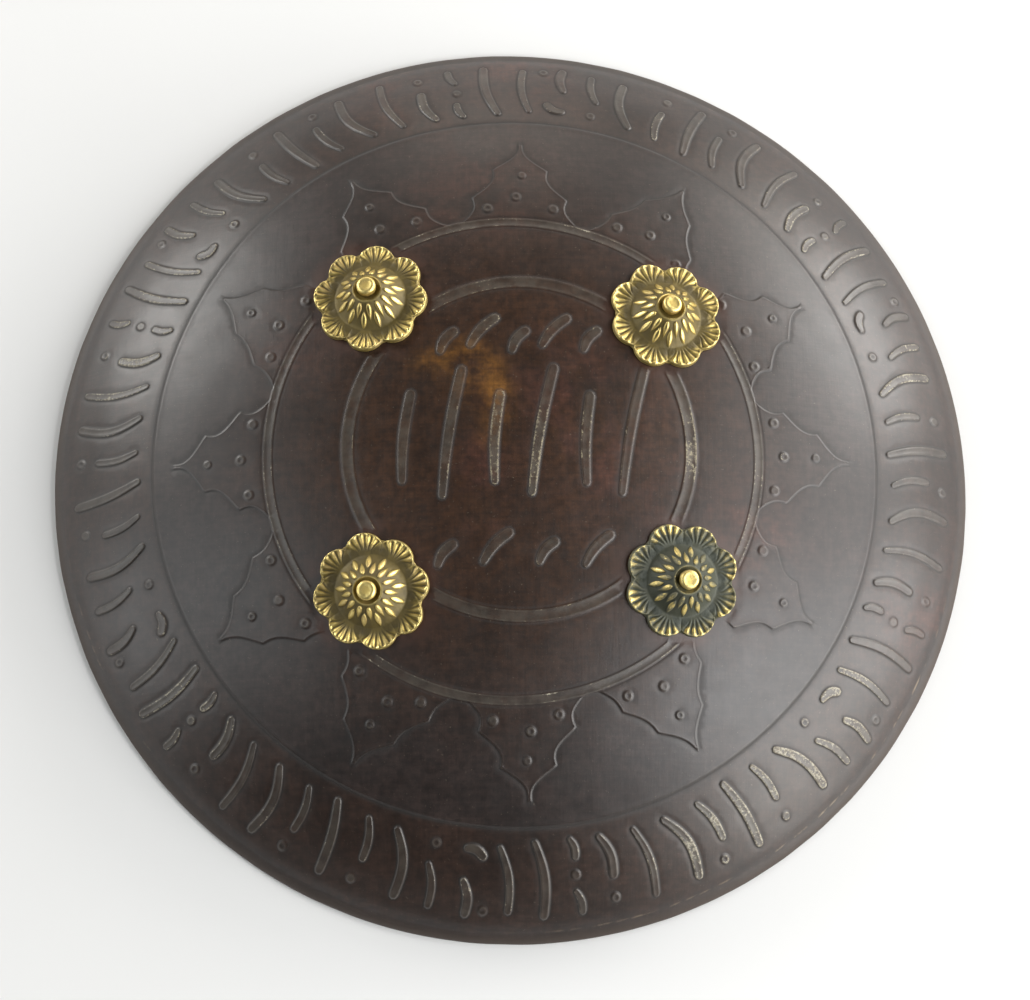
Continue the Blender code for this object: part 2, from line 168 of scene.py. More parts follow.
lipShare = (hide["lipHeight"] + hide["bandCut"]) / hide["crown"]
lipTop = wall * math.sqrt(1.0 - lipShare ** (1.0 / hide["fullness"]))


# The bowl's outside and inside
def bowl(radius, reach, crown):
    return crown * np.maximum(1.0 - (np.asarray(radius) / reach) ** 2, 0.0) ** hide["fullness"]


def outerHeight(radius):
    return bowl(radius, wall, hide["crown"])


def innerHeight(radius):
    return bowl(radius, foot, hide["crown"] - hide["thickness"])


def outerSlope(radius):
    step = 1e-6
    return (outerHeight(radius + step) - outerHeight(radius - step)) / (2.0 * step)


def outerNormals(plan):
    radius = np.maximum(polarPlaces(plan)[0], 1e-7)
    slope = outerSlope(radius)
    lean = -slope / radius
    normals = np.column_stack([lean * plan[:, 0], lean * plan[:, 1], np.ones(len(plan))])
    return normals / np.linalg.norm(normals, axis=1)[:, None]


# The bowl eases into the lip
def edgeSwell(radius):
    return hide["lipSwell"] * np.clip(1.0 - (lipTop - radius) / hide["flare"], 0.0, 1.0) ** 2


# Raised rings, each a low bed between two thin ridges. Strips are amount, place and width, the place
# counted from a ridge's middle outwards.
ringForm = {
    "rings": {
        # Radius, middle, from the ring's middle to each ridge, phase of the wander
        "medallion": {"radius": 0.1035, "middle": (-0.0019, -0.0009), "ridge": 1.65 * mm, "phase": 1.0},
        "inner": {"radius": 0.0721, "middle": (0.0007, 0.0014), "ridge": 2.15 * mm, "phase": 4.0},
    },
    "lines": (-0.5, 0.0, 0.5, 0.85, 1.3, 1.9), "station": 1.8 * mm, "wander": 0.30 * mm,
    "ridgeHalf": 0.50 * mm, "flatShare": 0.3, "ridgeRise": 0.22 * mm, "bedRise": 0.08 * mm, "foot": 0.85 * mm,
    # The second strip on this line is the dark line at the bed's foot: dirt and painted shade
    "ditch": (0.05 * mm, 1.2 * mm, 0.35 * mm), "dirtAndShade": (0.40, 1.05 * mm, 0.45 * mm),
    "ridgeRub": 0.95, "bedRub": 0.68, "wornReach": 5.0 * mm, "worn": 0.74,
}
rings = ringForm["rings"]
medallion, innerRing = rings["medallion"], rings["inner"]

# A circle cut by hand wanders: waves round it, share and phase of each
handWaves = ((3.0, 1.0, 1.0), (7.0, 0.6, 2.3))


def ringRadius(radius, angle, seed, stray):
    waves = sum(share * np.sin(count * angle + phase * seed) for count, share, phase in handWaves)
    return radius + stray * waves / sum(share for count, share, phase in handWaves)


def circleLine(radius, station, centre=(0.0, 0.0), seed=0.0, stray=0.0, least=14):
    count = max(least, int(round(fullTurn * radius / station)))
    angle = np.arange(count) * fullTurn / count
    return polarPoints(ringRadius(radius, angle, seed, stray), angle, centre)


def raiseRings(made, plan):
    for ring in rings.values():
        reach, angle = polarPlaces(plan, ring["middle"])
        drawn = ringRadius(ring["radius"], angle, ring["phase"], ringForm["wander"])
        beyond = np.abs(reach - drawn) - ring["ridge"]
        half = ringForm["ridgeHalf"]
        ridge = 1.0 - smooth(ringForm["flatShare"] * half, half, np.abs(beyond))
        bed = 1.0 - smooth(0.0, ringForm["foot"], beyond)
        low, high = ringForm["bedRise"], ringForm["ridgeRise"]
        raiseTo(made["lift"], bed * low + ridge * (high - low))
        made["lift"] -= strip(ringForm["ditch"], beyond)
        raiseTo(made["crest"], np.maximum(ringForm["ridgeRub"] * ridge, ringForm["bedRub"] * bed))
        # Dark line at the ring's foot: dirt and painted shade
        raiseTo(made["groove"], strip(ringForm["dirtAndShade"], beyond))


# Scalloped rays, pointing out from the medallion's ring, each with a bead along its edge
rays = {
    "count": 12, "length": 0.0405, "footShare": 0.97, "wander": math.radians(2.2), "tipWidth": 0.0008,
    "scallops": 3, "scallopDepth": 0.0034, "scallopLevel": 0.25, "vary": 0.3, "varyTurn": 2.3,
    "lines": (-1.35, -0.9, -0.45, 0.0, 0.35, 0.9), "station": 1.1 * mm, "stationSpare": 1.25, "linesFrom": 2,
    "sector": 0.34, "reach": (1.0 * mm, 4.0 * mm),       # where a ray is looked for, past its foot and tip
    "side": (-0.45 * mm, 0.05 * mm), "fade": (1.6 * mm, 3.2 * mm), "rise": 0.22 * mm,
    "beadAt": 0.55 * mm, "beadHalf": 0.30 * mm, "beadRise": 0.10 * mm, "beadRub": 0.78,
    # The second strip on this line is the dark line round the ray's foot: dirt and painted shade
    "ditch": (0.10 * mm, 0.40 * mm, 0.35 * mm), "dirtAndShade": (0.75, 0.30 * mm, 0.55 * mm),
}


def rayAngle(index):
    even = fullTurn * index / rays["count"]
    return even - rays["wander"] * math.sin(even)


def rayHalf(index, radius):
    pitch = min(rayAngle(index) - rayAngle(index - 1), rayAngle(index + 1) - rayAngle(index))
    share = np.clip((radius - medallion["radius"]) / rays["length"], 0.0, 1.0)
    depth = rays["scallopDepth"] * (1.0 + rays["vary"] * math.sin(rays["varyTurn"] * index))
    hollow = depth * (np.abs(np.sin(math.pi * rays["scallops"] * share)) - rays["scallopLevel"])
    return np.maximum(rays["footShare"] * pitch / 2.0 * (1.0 - share) - hollow / radius,
                      rays["tipWidth"] / 2.0 / radius)


# One side of a ray from its foot to its tip, moved outwards by a margin
def raySide(index, side, margin):
    count = int(rays["length"] * rays["stationSpare"] / rays["station"])
    radius = medallion["radius"] + rays["length"] * np.linspace(0.0, 1.0, count)
    line = polarPoints(radius, rayAngle(index) + side * rayHalf(index, radius), medallion["middle"])
    run = np.gradient(line, axis=0)
    run /= np.linalg.norm(run, axis=1)[:, None]
    outwards = np.stack([-run[:, 1], run[:, 0]], axis=1) * side
    return line + outwards * margin


def raiseRays(made, plan):
    start = medallion["radius"]
    tip = start + rays["length"]
    reach, bearing = polarPlaces(plan, medallion["middle"])
    for index in range(rays["count"]):
        turn = (bearing - rayAngle(index) + math.pi) % fullTurn - math.pi
        near = (reach > start + rays["reach"][0]) & (reach < tip + rays["reach"][1])
        rows = np.nonzero(near & (np.abs(turn) < rays["sector"]))[0]
        outline = np.concatenate([raySide(index, -1.0, 0.0), raySide(index, 1.0, 0.0)[::-1]])
        edge = distanceToLine(plan[rows], outline)[0]
        inside = (np.abs(turn[rows]) < rayHalf(index, reach[rows])) & (reach[rows] < tip)
        signed = np.where(inside, -edge, edge)
        body = 1.0 - smooth(*rays["side"], signed)
        bead = hump(-rays["beadAt"], rays["beadHalf"], signed)
        fade = smooth(*rays["fade"], reach[rows] - start)
        raiseTo(made["lift"], fade * (rays["rise"] * body + rays["beadRise"] * bead * body), rows)
        made["lift"][rows] -= strip(rays["ditch"], signed) * fade
        raiseTo(made["crest"], rays["beadRub"] * bead * fade, rows)
        # Dark line round the ray's foot: dirt and painted shade
        raiseTo(made["groove"], strip(rays["dirtAndShade"], signed) * fade, rows)
        made["warm"][rows] += warmth["rays"] * body


# Strokes of the band and the middle, which are no letters
strokes = {
    "width": 0.0044, "centreWidth": 0.0048, "finerWidth": 0.0036,
    "rise": 0.50 * mm, "centreRise": 0.24 * mm, "finerRise": 0.40 * mm,
    "sectors": 36, "strayTurn": 2.9, "strayLean": 4.0, "strayPlace": 0.02, "strayHeight": 0.03,
    # Half width as shares of the width's half: at the ends, more in the middle, and more at the upper end
    "half": (0.84, 0.14, 0.22), "capShare": 0.6, "capPoints": 4, "station": 1.7 * mm, "leastPoints": 5,
    # Outlines of the net: share of the half width, and margin in mm
    "lines": ((0.45, 0.0), (0.68, 0.0), (0.84, 0.0), (1.0, 0.0), (1.0, 0.4), (1.0, 0.95)),
    "reach": 4.5 * mm, "flatShare": 0.68, "body": 0.78, "shoulder": (0.22, 0.66, 0.16),
    # The second strip on this line is the dark line round the stroke's foot: dirt and painted shade
    "ditch": (0.11 * mm, 0.40 * mm, 0.35 * mm), "dirtAndShade": (0.85, 0.20 * mm, 0.42 * mm),
    "rub": 0.72, "rubShare": 0.84, "rubbedEdge": (0.28, 0.74, 0.20),
    # In each sector: share of the sector, share of the band, length as a share of the band, lean from the
    # radius in degrees, and bow
    "band": (
        ((0.26, 0.50, 0.92, 8.0, 0.0014),),
        ((0.27, 0.50, 0.84, 14.0, 0.0030),),
        ((0.26, 0.74, 0.46, 10.0, 0.0014), (0.34, 0.20, 0.30, 70.0, 0.0012)),
        ((0.26, 0.50, 0.94, 5.0, 0.0022),),
        ((0.24, 0.33, 0.56, 14.0, 0.0018),),
        ((0.27, 0.52, 0.88, 12.0, 0.0036),),
    ),
    # Finer strokes between them, in the same figures
    "finer": (
        ((0.76, 0.35, 0.54, 10.0, 0.0012),),
        ((0.77, 0.66, 0.54, 12.0, 0.0014),),
        ((0.78, 0.50, 0.82, 10.0, 0.0020),),
        ((0.78, 0.81, 0.30, 12.0, 0.0008), (0.76, 0.17, 0.28, 12.0, 0.0008)),
        ((0.75, 0.52, 0.88, 8.0, 0.0024),),
        ((0.78, 0.38, 0.58, 12.0, 0.0014),),
    ),
    # Three rows in the middle: count, height, half width and length as shares of the inner ring, lean, bow
    "centre": (
        (5, 0.66, 0.42, 0.26, 38.0, 0.0012),
        (6, 0.06, 0.66, 0.80, 7.0, 0.0012),
        (4, -0.62, 0.44, 0.26, 40.0, 0.0012),
    ),
    "shortShare": 0.70,      # every second one of a row is this much shorter
}


# A stroke's middle line and its half width along it
def strokeLine(x, y, heading, length, bow, width):
    length = length - strokes["capShare"] * width
    count = max(strokes["leastPoints"], int(round(length / strokes["station"])) + 1)
    t = np.linspace(-0.5, 0.5, count)
    side = bow * np.cos(math.pi * t)
    cos, sin = math.cos(heading), math.sin(heading)
    line = np.stack([x + length * t * cos - side * sin, y + length * t * sin + side * cos], axis=1)
    ends, belly, lean = strokes["half"]
    return line, width / 2.0 * (ends + belly * np.cos(math.pi * t) + lean * t)


def bandPlace(sector, share, across):
    inside = border + hide["bandMargin"]
    span = lipTop - hide["bandMargin"] - inside
    return inside + span * across, fullTurn * (sector + share) / strokes["sectors"], span


def bandStrokes():
    made = []
    for marks, width, rise in (("band", "width", "rise"), ("finer", "finerWidth", "finerRise")):
        for sector in range(strokes["sectors"]):
            stray = math.sin(strokes["strayTurn"] * sector)
            for share, across, length, lean, bow in strokes[marks][sector % len(strokes[marks])]:
                radius, angle, span = bandPlace(sector, share + strokes["strayPlace"] * stray, across)
                x, y = polarPoints(radius, angle)
                heading = angle + math.radians(lean + strokes["strayLean"] * stray)
                line, half = strokeLine(x, y, heading, span * length, bow, strokes[width])
                made.append({"line": line, "half": half, "rise": strokes[rise]})
    return made


def centreStrokes():
    made = []
    radius, middle = innerRing["radius"], innerRing["middle"]
    for count, height, halfRow, length, lean, bow in strokes["centre"]:
        for i in range(count):
            stray = math.sin(strokes["strayTurn"] * i + count)
            size = radius * length * (1.0 if i % 2 else strokes["shortShare"])
            x = middle[0] + radius * halfRow * (2.0 * i / (count - 1) - 1.0)
            y = middle[1] + radius * (height + strokes["strayHeight"] * stray)
            heading = math.radians(90.0 - lean - strokes["strayLean"] * stray)
            line, half = strokeLine(x, y, heading, size, bow, strokes["centreWidth"])
            made.append({"line": line, "half": half, "rise": strokes["centreRise"]})
    return made


# Closed line round a stroke, at a share of its half width plus a margin
def strokeOutline(stroke, share, margin):
    line, reach = stroke["line"], stroke["half"] * share + margin
    run = np.gradient(line, axis=0)
    heading = np.arctan2(run[:, 1], run[:, 0])
    left = polarPoints(reach, heading + math.pi / 2.0) + line
    right = polarPoints(reach, heading - math.pi / 2.0) + line
    turn = math.pi * (np.arange(1, strokes["capPoints"]) / strokes["capPoints"] - 0.5)
    farCap = polarPoints(reach[-1], heading[-1] - turn) + line[-1]
    nearCap = polarPoints(reach[0], heading[0] + math.pi - turn) + line[0]
    return np.concatenate([left, farCap, right[::-1], nearCap])


def raiseStrokes(made, plan, marks):
    lift = made["lift"]
    for stroke in marks:
        low, high = stroke["line"].min(0) - strokes["reach"], stroke["line"].max(0) + strokes["reach"]
        rows = np.nonzero((plan > low).all(1) & (plan < high).all(1))[0]
        off, along = distanceToLine(plan[rows], stroke["line"])
        half = np.interp(along, np.arange(len(stroke["half"])), stroke["half"])
        share, past = off / half, off - half
        top = 1.0 - smooth(strokes["flatShare"], 1.0, share)
        height = stroke["rise"] * (strokes["body"] * top + strip(strokes["shoulder"], share))
        lift[rows] = np.where(share < 1.0, np.maximum(lift[rows], height), lift[rows])
        lift[rows] -= stroke["rise"] / strokes["rise"] * strip(strokes["ditch"], past)
        bare = 1.0 - smooth(strokes["rubShare"], 1.0, share)
        raiseTo(made["crest"], bare * (strokes["rub"] + strip(strokes["rubbedEdge"], share)), rows)
        # Dark line round the stroke's foot: dirt and painted shade
        raiseTo(made["groove"], strip(strokes["dirtAndShade"], past), rows)


# Round pellets with a hollow; strips are amount, place and width
pellets = {
    # In a ray: distance from the medallion's ring in mm, sideways angle in degrees, and size
    "inRay": ((7.6, -7.6, 1.0), (7.8, 7.4, 1.0), (11.8, 0.4, 1.0), (24.5, 0.0, 0.85)),
    "stray": 0.8 * mm, "strayTurn": (5.1, 2.7),
    # In each sector of the band: share of the sector, share of the band
    "inBand": ((0.76, 0.85), (0.76, 0.16), (0.52, 0.88), (0.77, 0.49), (0.26, 0.84), (0.78, 0.88)),
    "bandSize": 0.95,
    "disc": 2.3 * mm, "edge": 0.65 * mm, "rise": 0.32 * mm, "hollow": 1.25 * mm, "hollowDepth": 0.23 * mm,
    "flatShare": 0.1, "shallow": 0.35,       # every third hollow is shallow
    "lines": (0.5, 1.25, 1.7, 2.3, 2.75, 3.4), "station": 1.25 * mm, "leastPoints": 10, "reach": 4.2 * mm,
    # The dark ring at the pellet's foot and the darkened hollow are dirt and painted shade
    "ditch": (0.07 * mm, 2.7 * mm, 0.35 * mm), "dirtAndShade": (0.5, 2.5 * mm, 0.40 * mm), "hollowDirtAndShade": 0.45,
    "rub": 0.85, "hollowBare": 0.8,
}


def pelletPlaces():
    places = []
    for index in range(rays["count"]):
        for k, (reach, aside, size) in enumerate(pellets["inRay"]):
            stray = pellets["stray"] * math.sin(pellets["strayTurn"][0] * index + pellets["strayTurn"][1] * k)
            radius = medallion["radius"] + reach * mm + stray
            angle = rayAngle(index) + math.radians(aside) + stray / radius
            places.append((*polarPoints(radius, angle, medallion["middle"]), size))
    for sector in range(strokes["sectors"]):
        radius, angle = bandPlace(sector, *pellets["inBand"][sector % len(pellets["inBand"])])[:2]
        places.append((*polarPoints(radius, angle), pellets["bandSize"]))
    return places


def raisePellets(made, plan, spots):
    for number, (x, y, size) in enumerate(spots):
        away = polarPlaces(plan, (x, y))[0] / size
        rows = np.nonzero(away < pellets["reach"])[0]
        away = away[rows]
        disc = 1.0 - smooth(pellets["disc"] - pellets["edge"], pellets["disc"], away)
        deep = 1.0 if number % 3 else pellets["shallow"]
        hollow = deep * (1.0 - smooth(pellets["flatShare"] * pellets["hollow"], pellets["hollow"], away))
        made["lift"][rows] += pellets["rise"] * disc - pellets["hollowDepth"] * hollow
        made["lift"][rows] -= strip(pellets["ditch"], away)
        raiseTo(made["crest"], pellets["rub"] * disc * (1.0 - pellets["hollowBare"] * hollow), rows)
        # Dark ring at the pellet's foot and dark hollow: dirt and painted shade
        dirtAndShade = np.maximum(strip(pellets["dirtAndShade"], away), pellets["hollowDirtAndShade"] * hollow)
        raiseTo(made["groove"], dirtAndShade, rows)


# Line round the cut-down border band, with places counted from it outwards
borderLine = {
    "lines": (-1.3, -0.6, -0.1, 0.4, 0.9, 1.3, 1.9), "station": 1.8 * mm, "seed": 2.0, "wander": 0.35 * mm,
    "step": (-0.1 * mm, 0.9 * mm), "ridge": (0.10 * mm, -0.6 * mm, 0.45 * mm),
    # The second strip on this line is the dark line along the step: dirt and painted shade
    "ditch": (0.10 * mm, 1.2 * mm, 0.4 * mm), "dirtAndShade": (0.85, 0.9 * mm, 0.7 * mm),
    "rub": (0.66, -0.6 * mm, 0.45 * mm),
}


def drawBorder(made, plan):
    reach, angle = polarPlaces(plan)
    past = reach - ringRadius(border, angle, borderLine["seed"], borderLine["wander"])
    made["cut"] = smooth(*borderLine["step"], past)
    made["lift"] += strip(borderLine["ridge"], past)
    made["lift"] -= strip(borderLine["ditch"], past)
    # Dark line along the band's step: dirt and painted shade
    raiseTo(made["groove"], strip(borderLine["dirtAndShade"], past))
    raiseTo(made["crest"], strip(borderLine["rub"], past))
    made["warm"] += warmth["band"] * smooth(0.0, warmth["bandStep"], past)


# Lines that the net of faces follows, so that every edge of the relief is crisp
class Net:
    def __init__(self):
        self.points, self.edges = [], []

    def add(self, line, closed=True):
        start, count = len(self.points), len(line)
        self.points.extend(map(tuple, line))
        self.edges.extend((start + i, start + i + 1) for i in range(count - 1))
        if closed:
            self.edges.append((start + count - 1, start))


def reliefNet(marks, spots):
    net = Net()
    station, wander = ringForm["station"], ringForm["wander"]
    for ring in rings.values():
        for beyond in ringForm["lines"]:
            for side in (-1.0, 1.0):
                reach = ring["radius"] + side * (ring["ridge"] + beyond * mm)
                net.add(circleLine(reach, station, ring["middle"], ring["phase"], wander))
    for offset in borderLine["lines"]:
        net.add(circleLine(border + offset * mm, borderLine["station"], seed=borderLine["seed"],
                           stray=borderLine["wander"]))
    for index in range(rays["count"]):
        for side in (-1.0, 1.0):
            for margin in rays["lines"]:
                net.add(raySide(index, side, margin * mm)[rays["linesFrom"]:], closed=False)
    for x, y, size in spots:
        for radius in pellets["lines"]:
            net.add(circleLine(radius * size * mm, pellets["station"], (x, y), least=pellets["leastPoints"]))
    for stroke in marks:
        net.add(stroke["line"], closed=False)
        for share, margin in strokes["lines"]:
            net.add(strokeOutline(stroke, share, margin * mm))
    return net


# Even rings of plain points between the lines, spaced along the bowl's slope
def plainPoints(taken):
    step = hide["netStep"]
    fine = np.linspace(0.0, lipTop, 4000)
    arc = np.concatenate([[0.0], np.cumsum(np.hypot(np.diff(fine), np.diff(outerHeight(fine))))])
    draw = np.random.default_rng(hide["seed"])
    tree = kdtree.KDTree(len(taken))
    for i, (x, y) in enumerate(taken):
        tree.insert((x, y, 0.0), i)
    tree.balance()
    kept = [(0.0, 0.0)]
    for reach in np.arange(step, arc[-1] - 0.5 * step, step):
        radius = np.interp(reach, arc, fine)
        count = max(6, int(round(fullTurn * radius / step)))
        angles = fullTurn * (np.arange(count) + draw.random()) / count
        jitter = draw.uniform(-1.0, 1.0, (count, 2)) * step * hide["netJitter"]
        jitter = jitter * np.interp(radius, [0, lipTop], [1.0, hide["edgeJitter"]])
        for x, y in polarPoints(radius, angles) + jitter:
            if tree.find((x, y, 0.0))[2] > hide["netClear"]:
                kept.append((x, y))
    return kept


# Brown tone: full inside one reach, fading to the field's beyond another, and more on the rays and the band
warmth = {
    "full": 55.0 * mm, "none": 140.0 * mm, "field": 0.12, "rays": 0.14, "band": 0.34,
    "bandStep": 2.0 * mm,
}

# Worn and coloured stretches: place in the plan and reach, in millimetres, and strength
wear = {
    "least": 0.50,
    "rubbed": (
        (114.6, -133.9, 36.0, 1.00), (75.9, -162.9, 32.0, 0.95), (141.0, -96.3, 30.0, 0.80),
        (-140.4, -98.4, 42.0, 0.88), (-170.0, 41.9, 46.0, 0.86), (-129.4, 108.2, 42.0, 0.84),
        (131.4, 113.4, 42.0, 0.86), (170.6, 40.7, 40.0, 0.80), (57.7, 164.8, 36.0, 0.70),
        (-44.1, 169.7, 36.0, 0.70), (0.0, 0.0, 46.0, 0.90), (98.6, -7.4, 26.0, 0.80),
        (-15.3, 70.0, 26.0, 0.68), (-72.0, -4.0, 30.0, 0.62), (-20.0, -170.0, 50.0, 0.66),
        (72.3, 8.6, 24.0, 0.85),
    ),
    # An arc and a strip where the hide lets the light through
    "amber": (
        (-38.7, 36.6, 6.0, 0.6), (-30.3, 40.2, 6.0, 0.9), (-19.9, 41.5, 6.0, 1.0), (-11.6, 35.8, 5.5, 1.0),
        (-8.4, 25.8, 5.5, 1.0), (-8.9, 15.3, 5.5, 0.9), (-20.0, 27.0, 9.0, 0.4), (-12.0, 5.0, 5.0, 0.4),
    ),
    "red": (
        (-14.0, -2.0, 9.0, 0.8), (-17.0, -16.0, 9.0, 0.9), (-16.0, -30.0, 8.0, 0.7), (20.0, 22.0, 26.0, 0.8),
        (46.0, -12.0, 22.0, 0.7), (96.0, -34.0, 20.0, 0.8), (-95.0, 50.0, 18.0, 0.5), (8.0, 190.0, 26.0, 0.7),
        (-60.0, 182.0, 24.0, 0.5), (178.0, -60.0, 26.0, 0.6), (-20.0, 120.0, 30.0, 0.5),
    ),
    "rimWear": (
        (127.0, -150.0, 40.0, 1.0), (172.0, -92.0, 34.0, 0.7), (-171.0, -88.0, 40.0, 0.6),
        (50.0, -190.0, 40.0, 0.5), (-60.0, 188.0, 40.0, 0.3), (110.0, 165.0, 40.0, 0.35),
    ),
}


# Sum of soft round patches, at most 1
def patches(plan, name):
    total = np.zeros(len(plan))
    for x, y, reach, strength in wear[name]:
        away = np.hypot(plan[:, 0] - x * mm, plan[:, 1] - y * mm)
        total += strength * np.exp(-(away / (reach * mm)) ** 2)
    return np.clip(total, 0.0, 1.0)


def rubbedPlaces(plan):
    rubbed = np.maximum(patches(plan, "rubbed"), wear["least"])
    for ring in rings.values():
        reach = polarPlaces(plan, ring["middle"])[0]
        raiseTo(rubbed, ringForm["worn"] * hump(ring["radius"], ringForm["wornReach"], reach))
    return rubbed


# Lift of the relief over the ground, and the masks that the finish reads
def relief(plan, marks, spots):
    made = {name: np.zeros(len(plan)) for name in ("lift", "crest", "groove")}
    reach = polarPlaces(plan, medallion["middle"])[0]
    made["warm"] = 1.0 - smooth(warmth["full"], warmth["none"], reach) * (1.0 - warmth["field"])
    raiseRings(made, plan)
    raiseRays(made, plan)
    raisePellets(made, plan, spots)
    raiseStrokes(made, plan, marks)
    drawBorder(made, plan)
    return made


# The hide stays plain under each boss and at the lip, and is shaded round the bosses
def plainPlaces(plan):
    keep = 1.0 - smooth(*(lipTop - margin for margin in hide["plainEdge"]), polarPlaces(plan)[0])
    shade = np.zeros(len(plan))
    for boss in bosses.values():
        away = polarPlaces(plan, polarPoints(*bossPlace(boss)))[0]
        keep *= smooth(*(flower["reach"] + margin for margin in flower["clearing"]), away)
        raiseTo(shade, 1.0 - smooth(*(flower["reach"] + margin for margin in flower["shade"]), away))
    return keep, shade


def frontMesh():
    marks, spots = bandStrokes() + centreStrokes(), pelletPlaces()
    net = reliefNet(marks, spots)
    plan = np.array(net.points)
    keep = plainPlaces(plan)[0] > 0.02
    order = np.cumsum(keep) - 1
    points = [Vector(p) for p in plan[keep]]
    edges = [(int(order[a]), int(order[b])) for a, b in net.edges if keep[a] and keep[b]]
    turns, start = hide["turns"], len(points)
    points += [Vector(p) for p in polarPoints(np.full(turns, lipTop), np.arange(turns) * fullTurn / turns)]
    edges += [(start + i, start + (i + 1) % turns) for i in range(turns)]
    points += [Vector(p) for p in plainPoints(np.array(points))]
    filled = delaunay_2d_cdt(points, edges, [], 0, 1e-6)
    plan, faces = np.array([tuple(p) for p in filled[0]]), filled[2]
    made = relief(plan, marks, spots)
    keep, shade = plainPlaces(plan)
    radius = polarPlaces(plan)[0]
    ground = outerHeight(radius) - hide["bandCut"] * made["cut"] + edgeSwell(radius)
    places = np.column_stack([plan, ground])
    swell = hide["swell"] * noiseAt(places, hide["swells"])
    lift = made["lift"] * keep + swell * (1.0 - smooth(lipTop - hide["swellEnd"], lipTop, radius))
    mesh = bpy.data.meshes.new("hide")
    mesh.from_pydata((places + outerNormals(plan) * lift[:, None]).tolist(), [], faces)
    # One of these masks holds the dark lines at the relief's feet: dirt and painted shade
    store(mesh, crest=made["crest"] * keep, groove=made["groove"] * keep,
          warm=np.clip(made["warm"], 0.0, 1.0), rubbed=rubbedPlaces(plan), bossShade=shade,
          **{name: patches(plan, name) for name in ("amber", "red", "rimWear")})
    return mesh


# A line of points drawn by extruding one point, ready to be turned
def drawProfile(name, profile):
    clearSelection()
    bpy.ops.mesh.primitive_plane_add(size=0.01, location=(0.0, 0.0, 0.0))
    piece = bpy.context.object
    piece.name = name
    editAll(piece)
    bpy.ops.mesh.merge(type="CENTER")
    bpy.ops.transform.translate(value=(profile[0][0], 0.0, profile[0][1]))
    for (nearX, nearZ), (farX, farZ) in zip(profile, profile[1:]):
        bpy.ops.mesh.extrude_region_move(TRANSFORM_OT_translate={"value": (farX - nearX, 0.0, farZ - nearZ)})
    bpy.ops.object.mode_set(mode="OBJECT")
    return piece


def turnProfile(piece, steps, closedLine=False):
    editAll(piece)
    if closedLine:
        bpy.ops.mesh.remove_doubles(threshold=1e-7)
    bpy.ops.mesh.spin(steps=steps, angle=fullTurn, center=(0.0, 0.0, 0.0), axis=(0.0, 0.0, 1.0))
    closeUp(2e-6)
    return piece


# Lip, flat land and inside, from the lip's top round to the middle of the back
def shellProfile():
    land, rim, widest, count = foot + hide["landWidth"], hide["rim"], hide["lipWidest"], hide["lipPoints"]
    start, end = Vector((lipTop, hide["lipHeight"] + hide["lipSwell"])), Vector((rim, widest))
    slope = float(outerSlope(lipTop)) + 2.0 * hide["lipSwell"] / hide["flare"]
    leaving, arriving = hide["shoulder"]
    handles = (start + Vector((1.0, slope)).normalized() * leaving, end + Vector((0.0, arriving)))
    profile = [tuple(p) for p in interpolate_bezier(start, *handles, end, count)]
    for i in range(1, count):
        angle = math.pi / 2.0 * i / (count - 1)
        profile.append((land + (rim - land) * math.cos(angle), widest * (1.0 - math.sin(angle))))
    for i in range(hide["insideRings"] + 1):
        radius = foot * math.cos(math.pi / 2.0 * i / hide["insideRings"])
        profile.append((radius, float(innerHeight(radius))))
    return profile


# The edge was trimmed by hand, and the back is a little uneven
def roughenEdges(mesh):
    places = readPlaces(mesh)
    radius, angle = polarPlaces(places)
    waves = (share * np.sin(count * angle + phase) for share, count, phase in hide["trimWaves"])
    stray = hide["trimMean"] + sum(waves)
    around = np.column_stack([polarPoints(1.0, angle), np.zeros(len(angle))])
    stray = stray + noiseAt(around, hide["trimNoise"]) * (radius > lipTop - 1.0 * mm)
    inwards = hide["trim"] * np.clip(stray, 0.0, hide["trimMost"])
    inwards = inwards * smooth(hide["trimFrom"], 1.0, radius / lipTop)
    places[:, :2] *= (1.0 - inwards / hide["rim"])[:, None]
    below, inside = hide["backClear"]
    back = (places[:, 2] < outerHeight(np.minimum(radius, wall)) - below) & (radius < foot - inside)
    places[:, 2] += np.where(back, hide["backSwell"] * noiseAt(places, hide["backSwells"]), 0.0)
    writePlaces(mesh, places)


def makeHide():
    front = bpy.data.objects.new("lacqueredHide", frontMesh())
    bpy.context.scene.collection.objects.link(front)
    shell = turnProfile(drawProfile("shell", shellProfile()), hide["turns"])
    makeActive(front)
    shell.select_set(True)
    bpy.ops.object.join()
    editAll(front)
    closeUp(4e-6)
    roughenEdges(front.data)
    bpy.ops.object.shade_smooth()
    print("hide:", len(front.data.polygons), "faces")
    return front


# Bosses: angle round the shield, stray outwards, turn of the petals, and how each has aged
bosses = {
    "upperLeft": {"node": "upper_left", "angle": 132.3, "stray": 0.0035, "turn": 38.0, "seed": 3.1,
                  "patina": 0.56, "shine": 1.0, "pitted": 0.25, "film": "olive"},
    "upperRight": {"node": "upper_right", "angle": 43.0, "stray": -0.0011, "turn": 22.0, "seed": 7.7,
                   "patina": 0.58, "shine": 1.0, "pitted": 0.25, "film": "olive"},
    "lowerLeft": {"node": "lower_left", "angle": 223.8, "stray": -0.0024, "turn": 8.5, "seed": 12.9,
                  "patina": 0.62, "shine": 0.9, "pitted": 0.3, "film": "olive"},
    "lowerRight": {"node": "lower_right", "angle": 320.6, "stray": -0.0005, "turn": 21.0, "seed": 19.3,
                   "patina": 1.90, "shine": 0.72, "pitted": 0.85, "film": "green"},
}
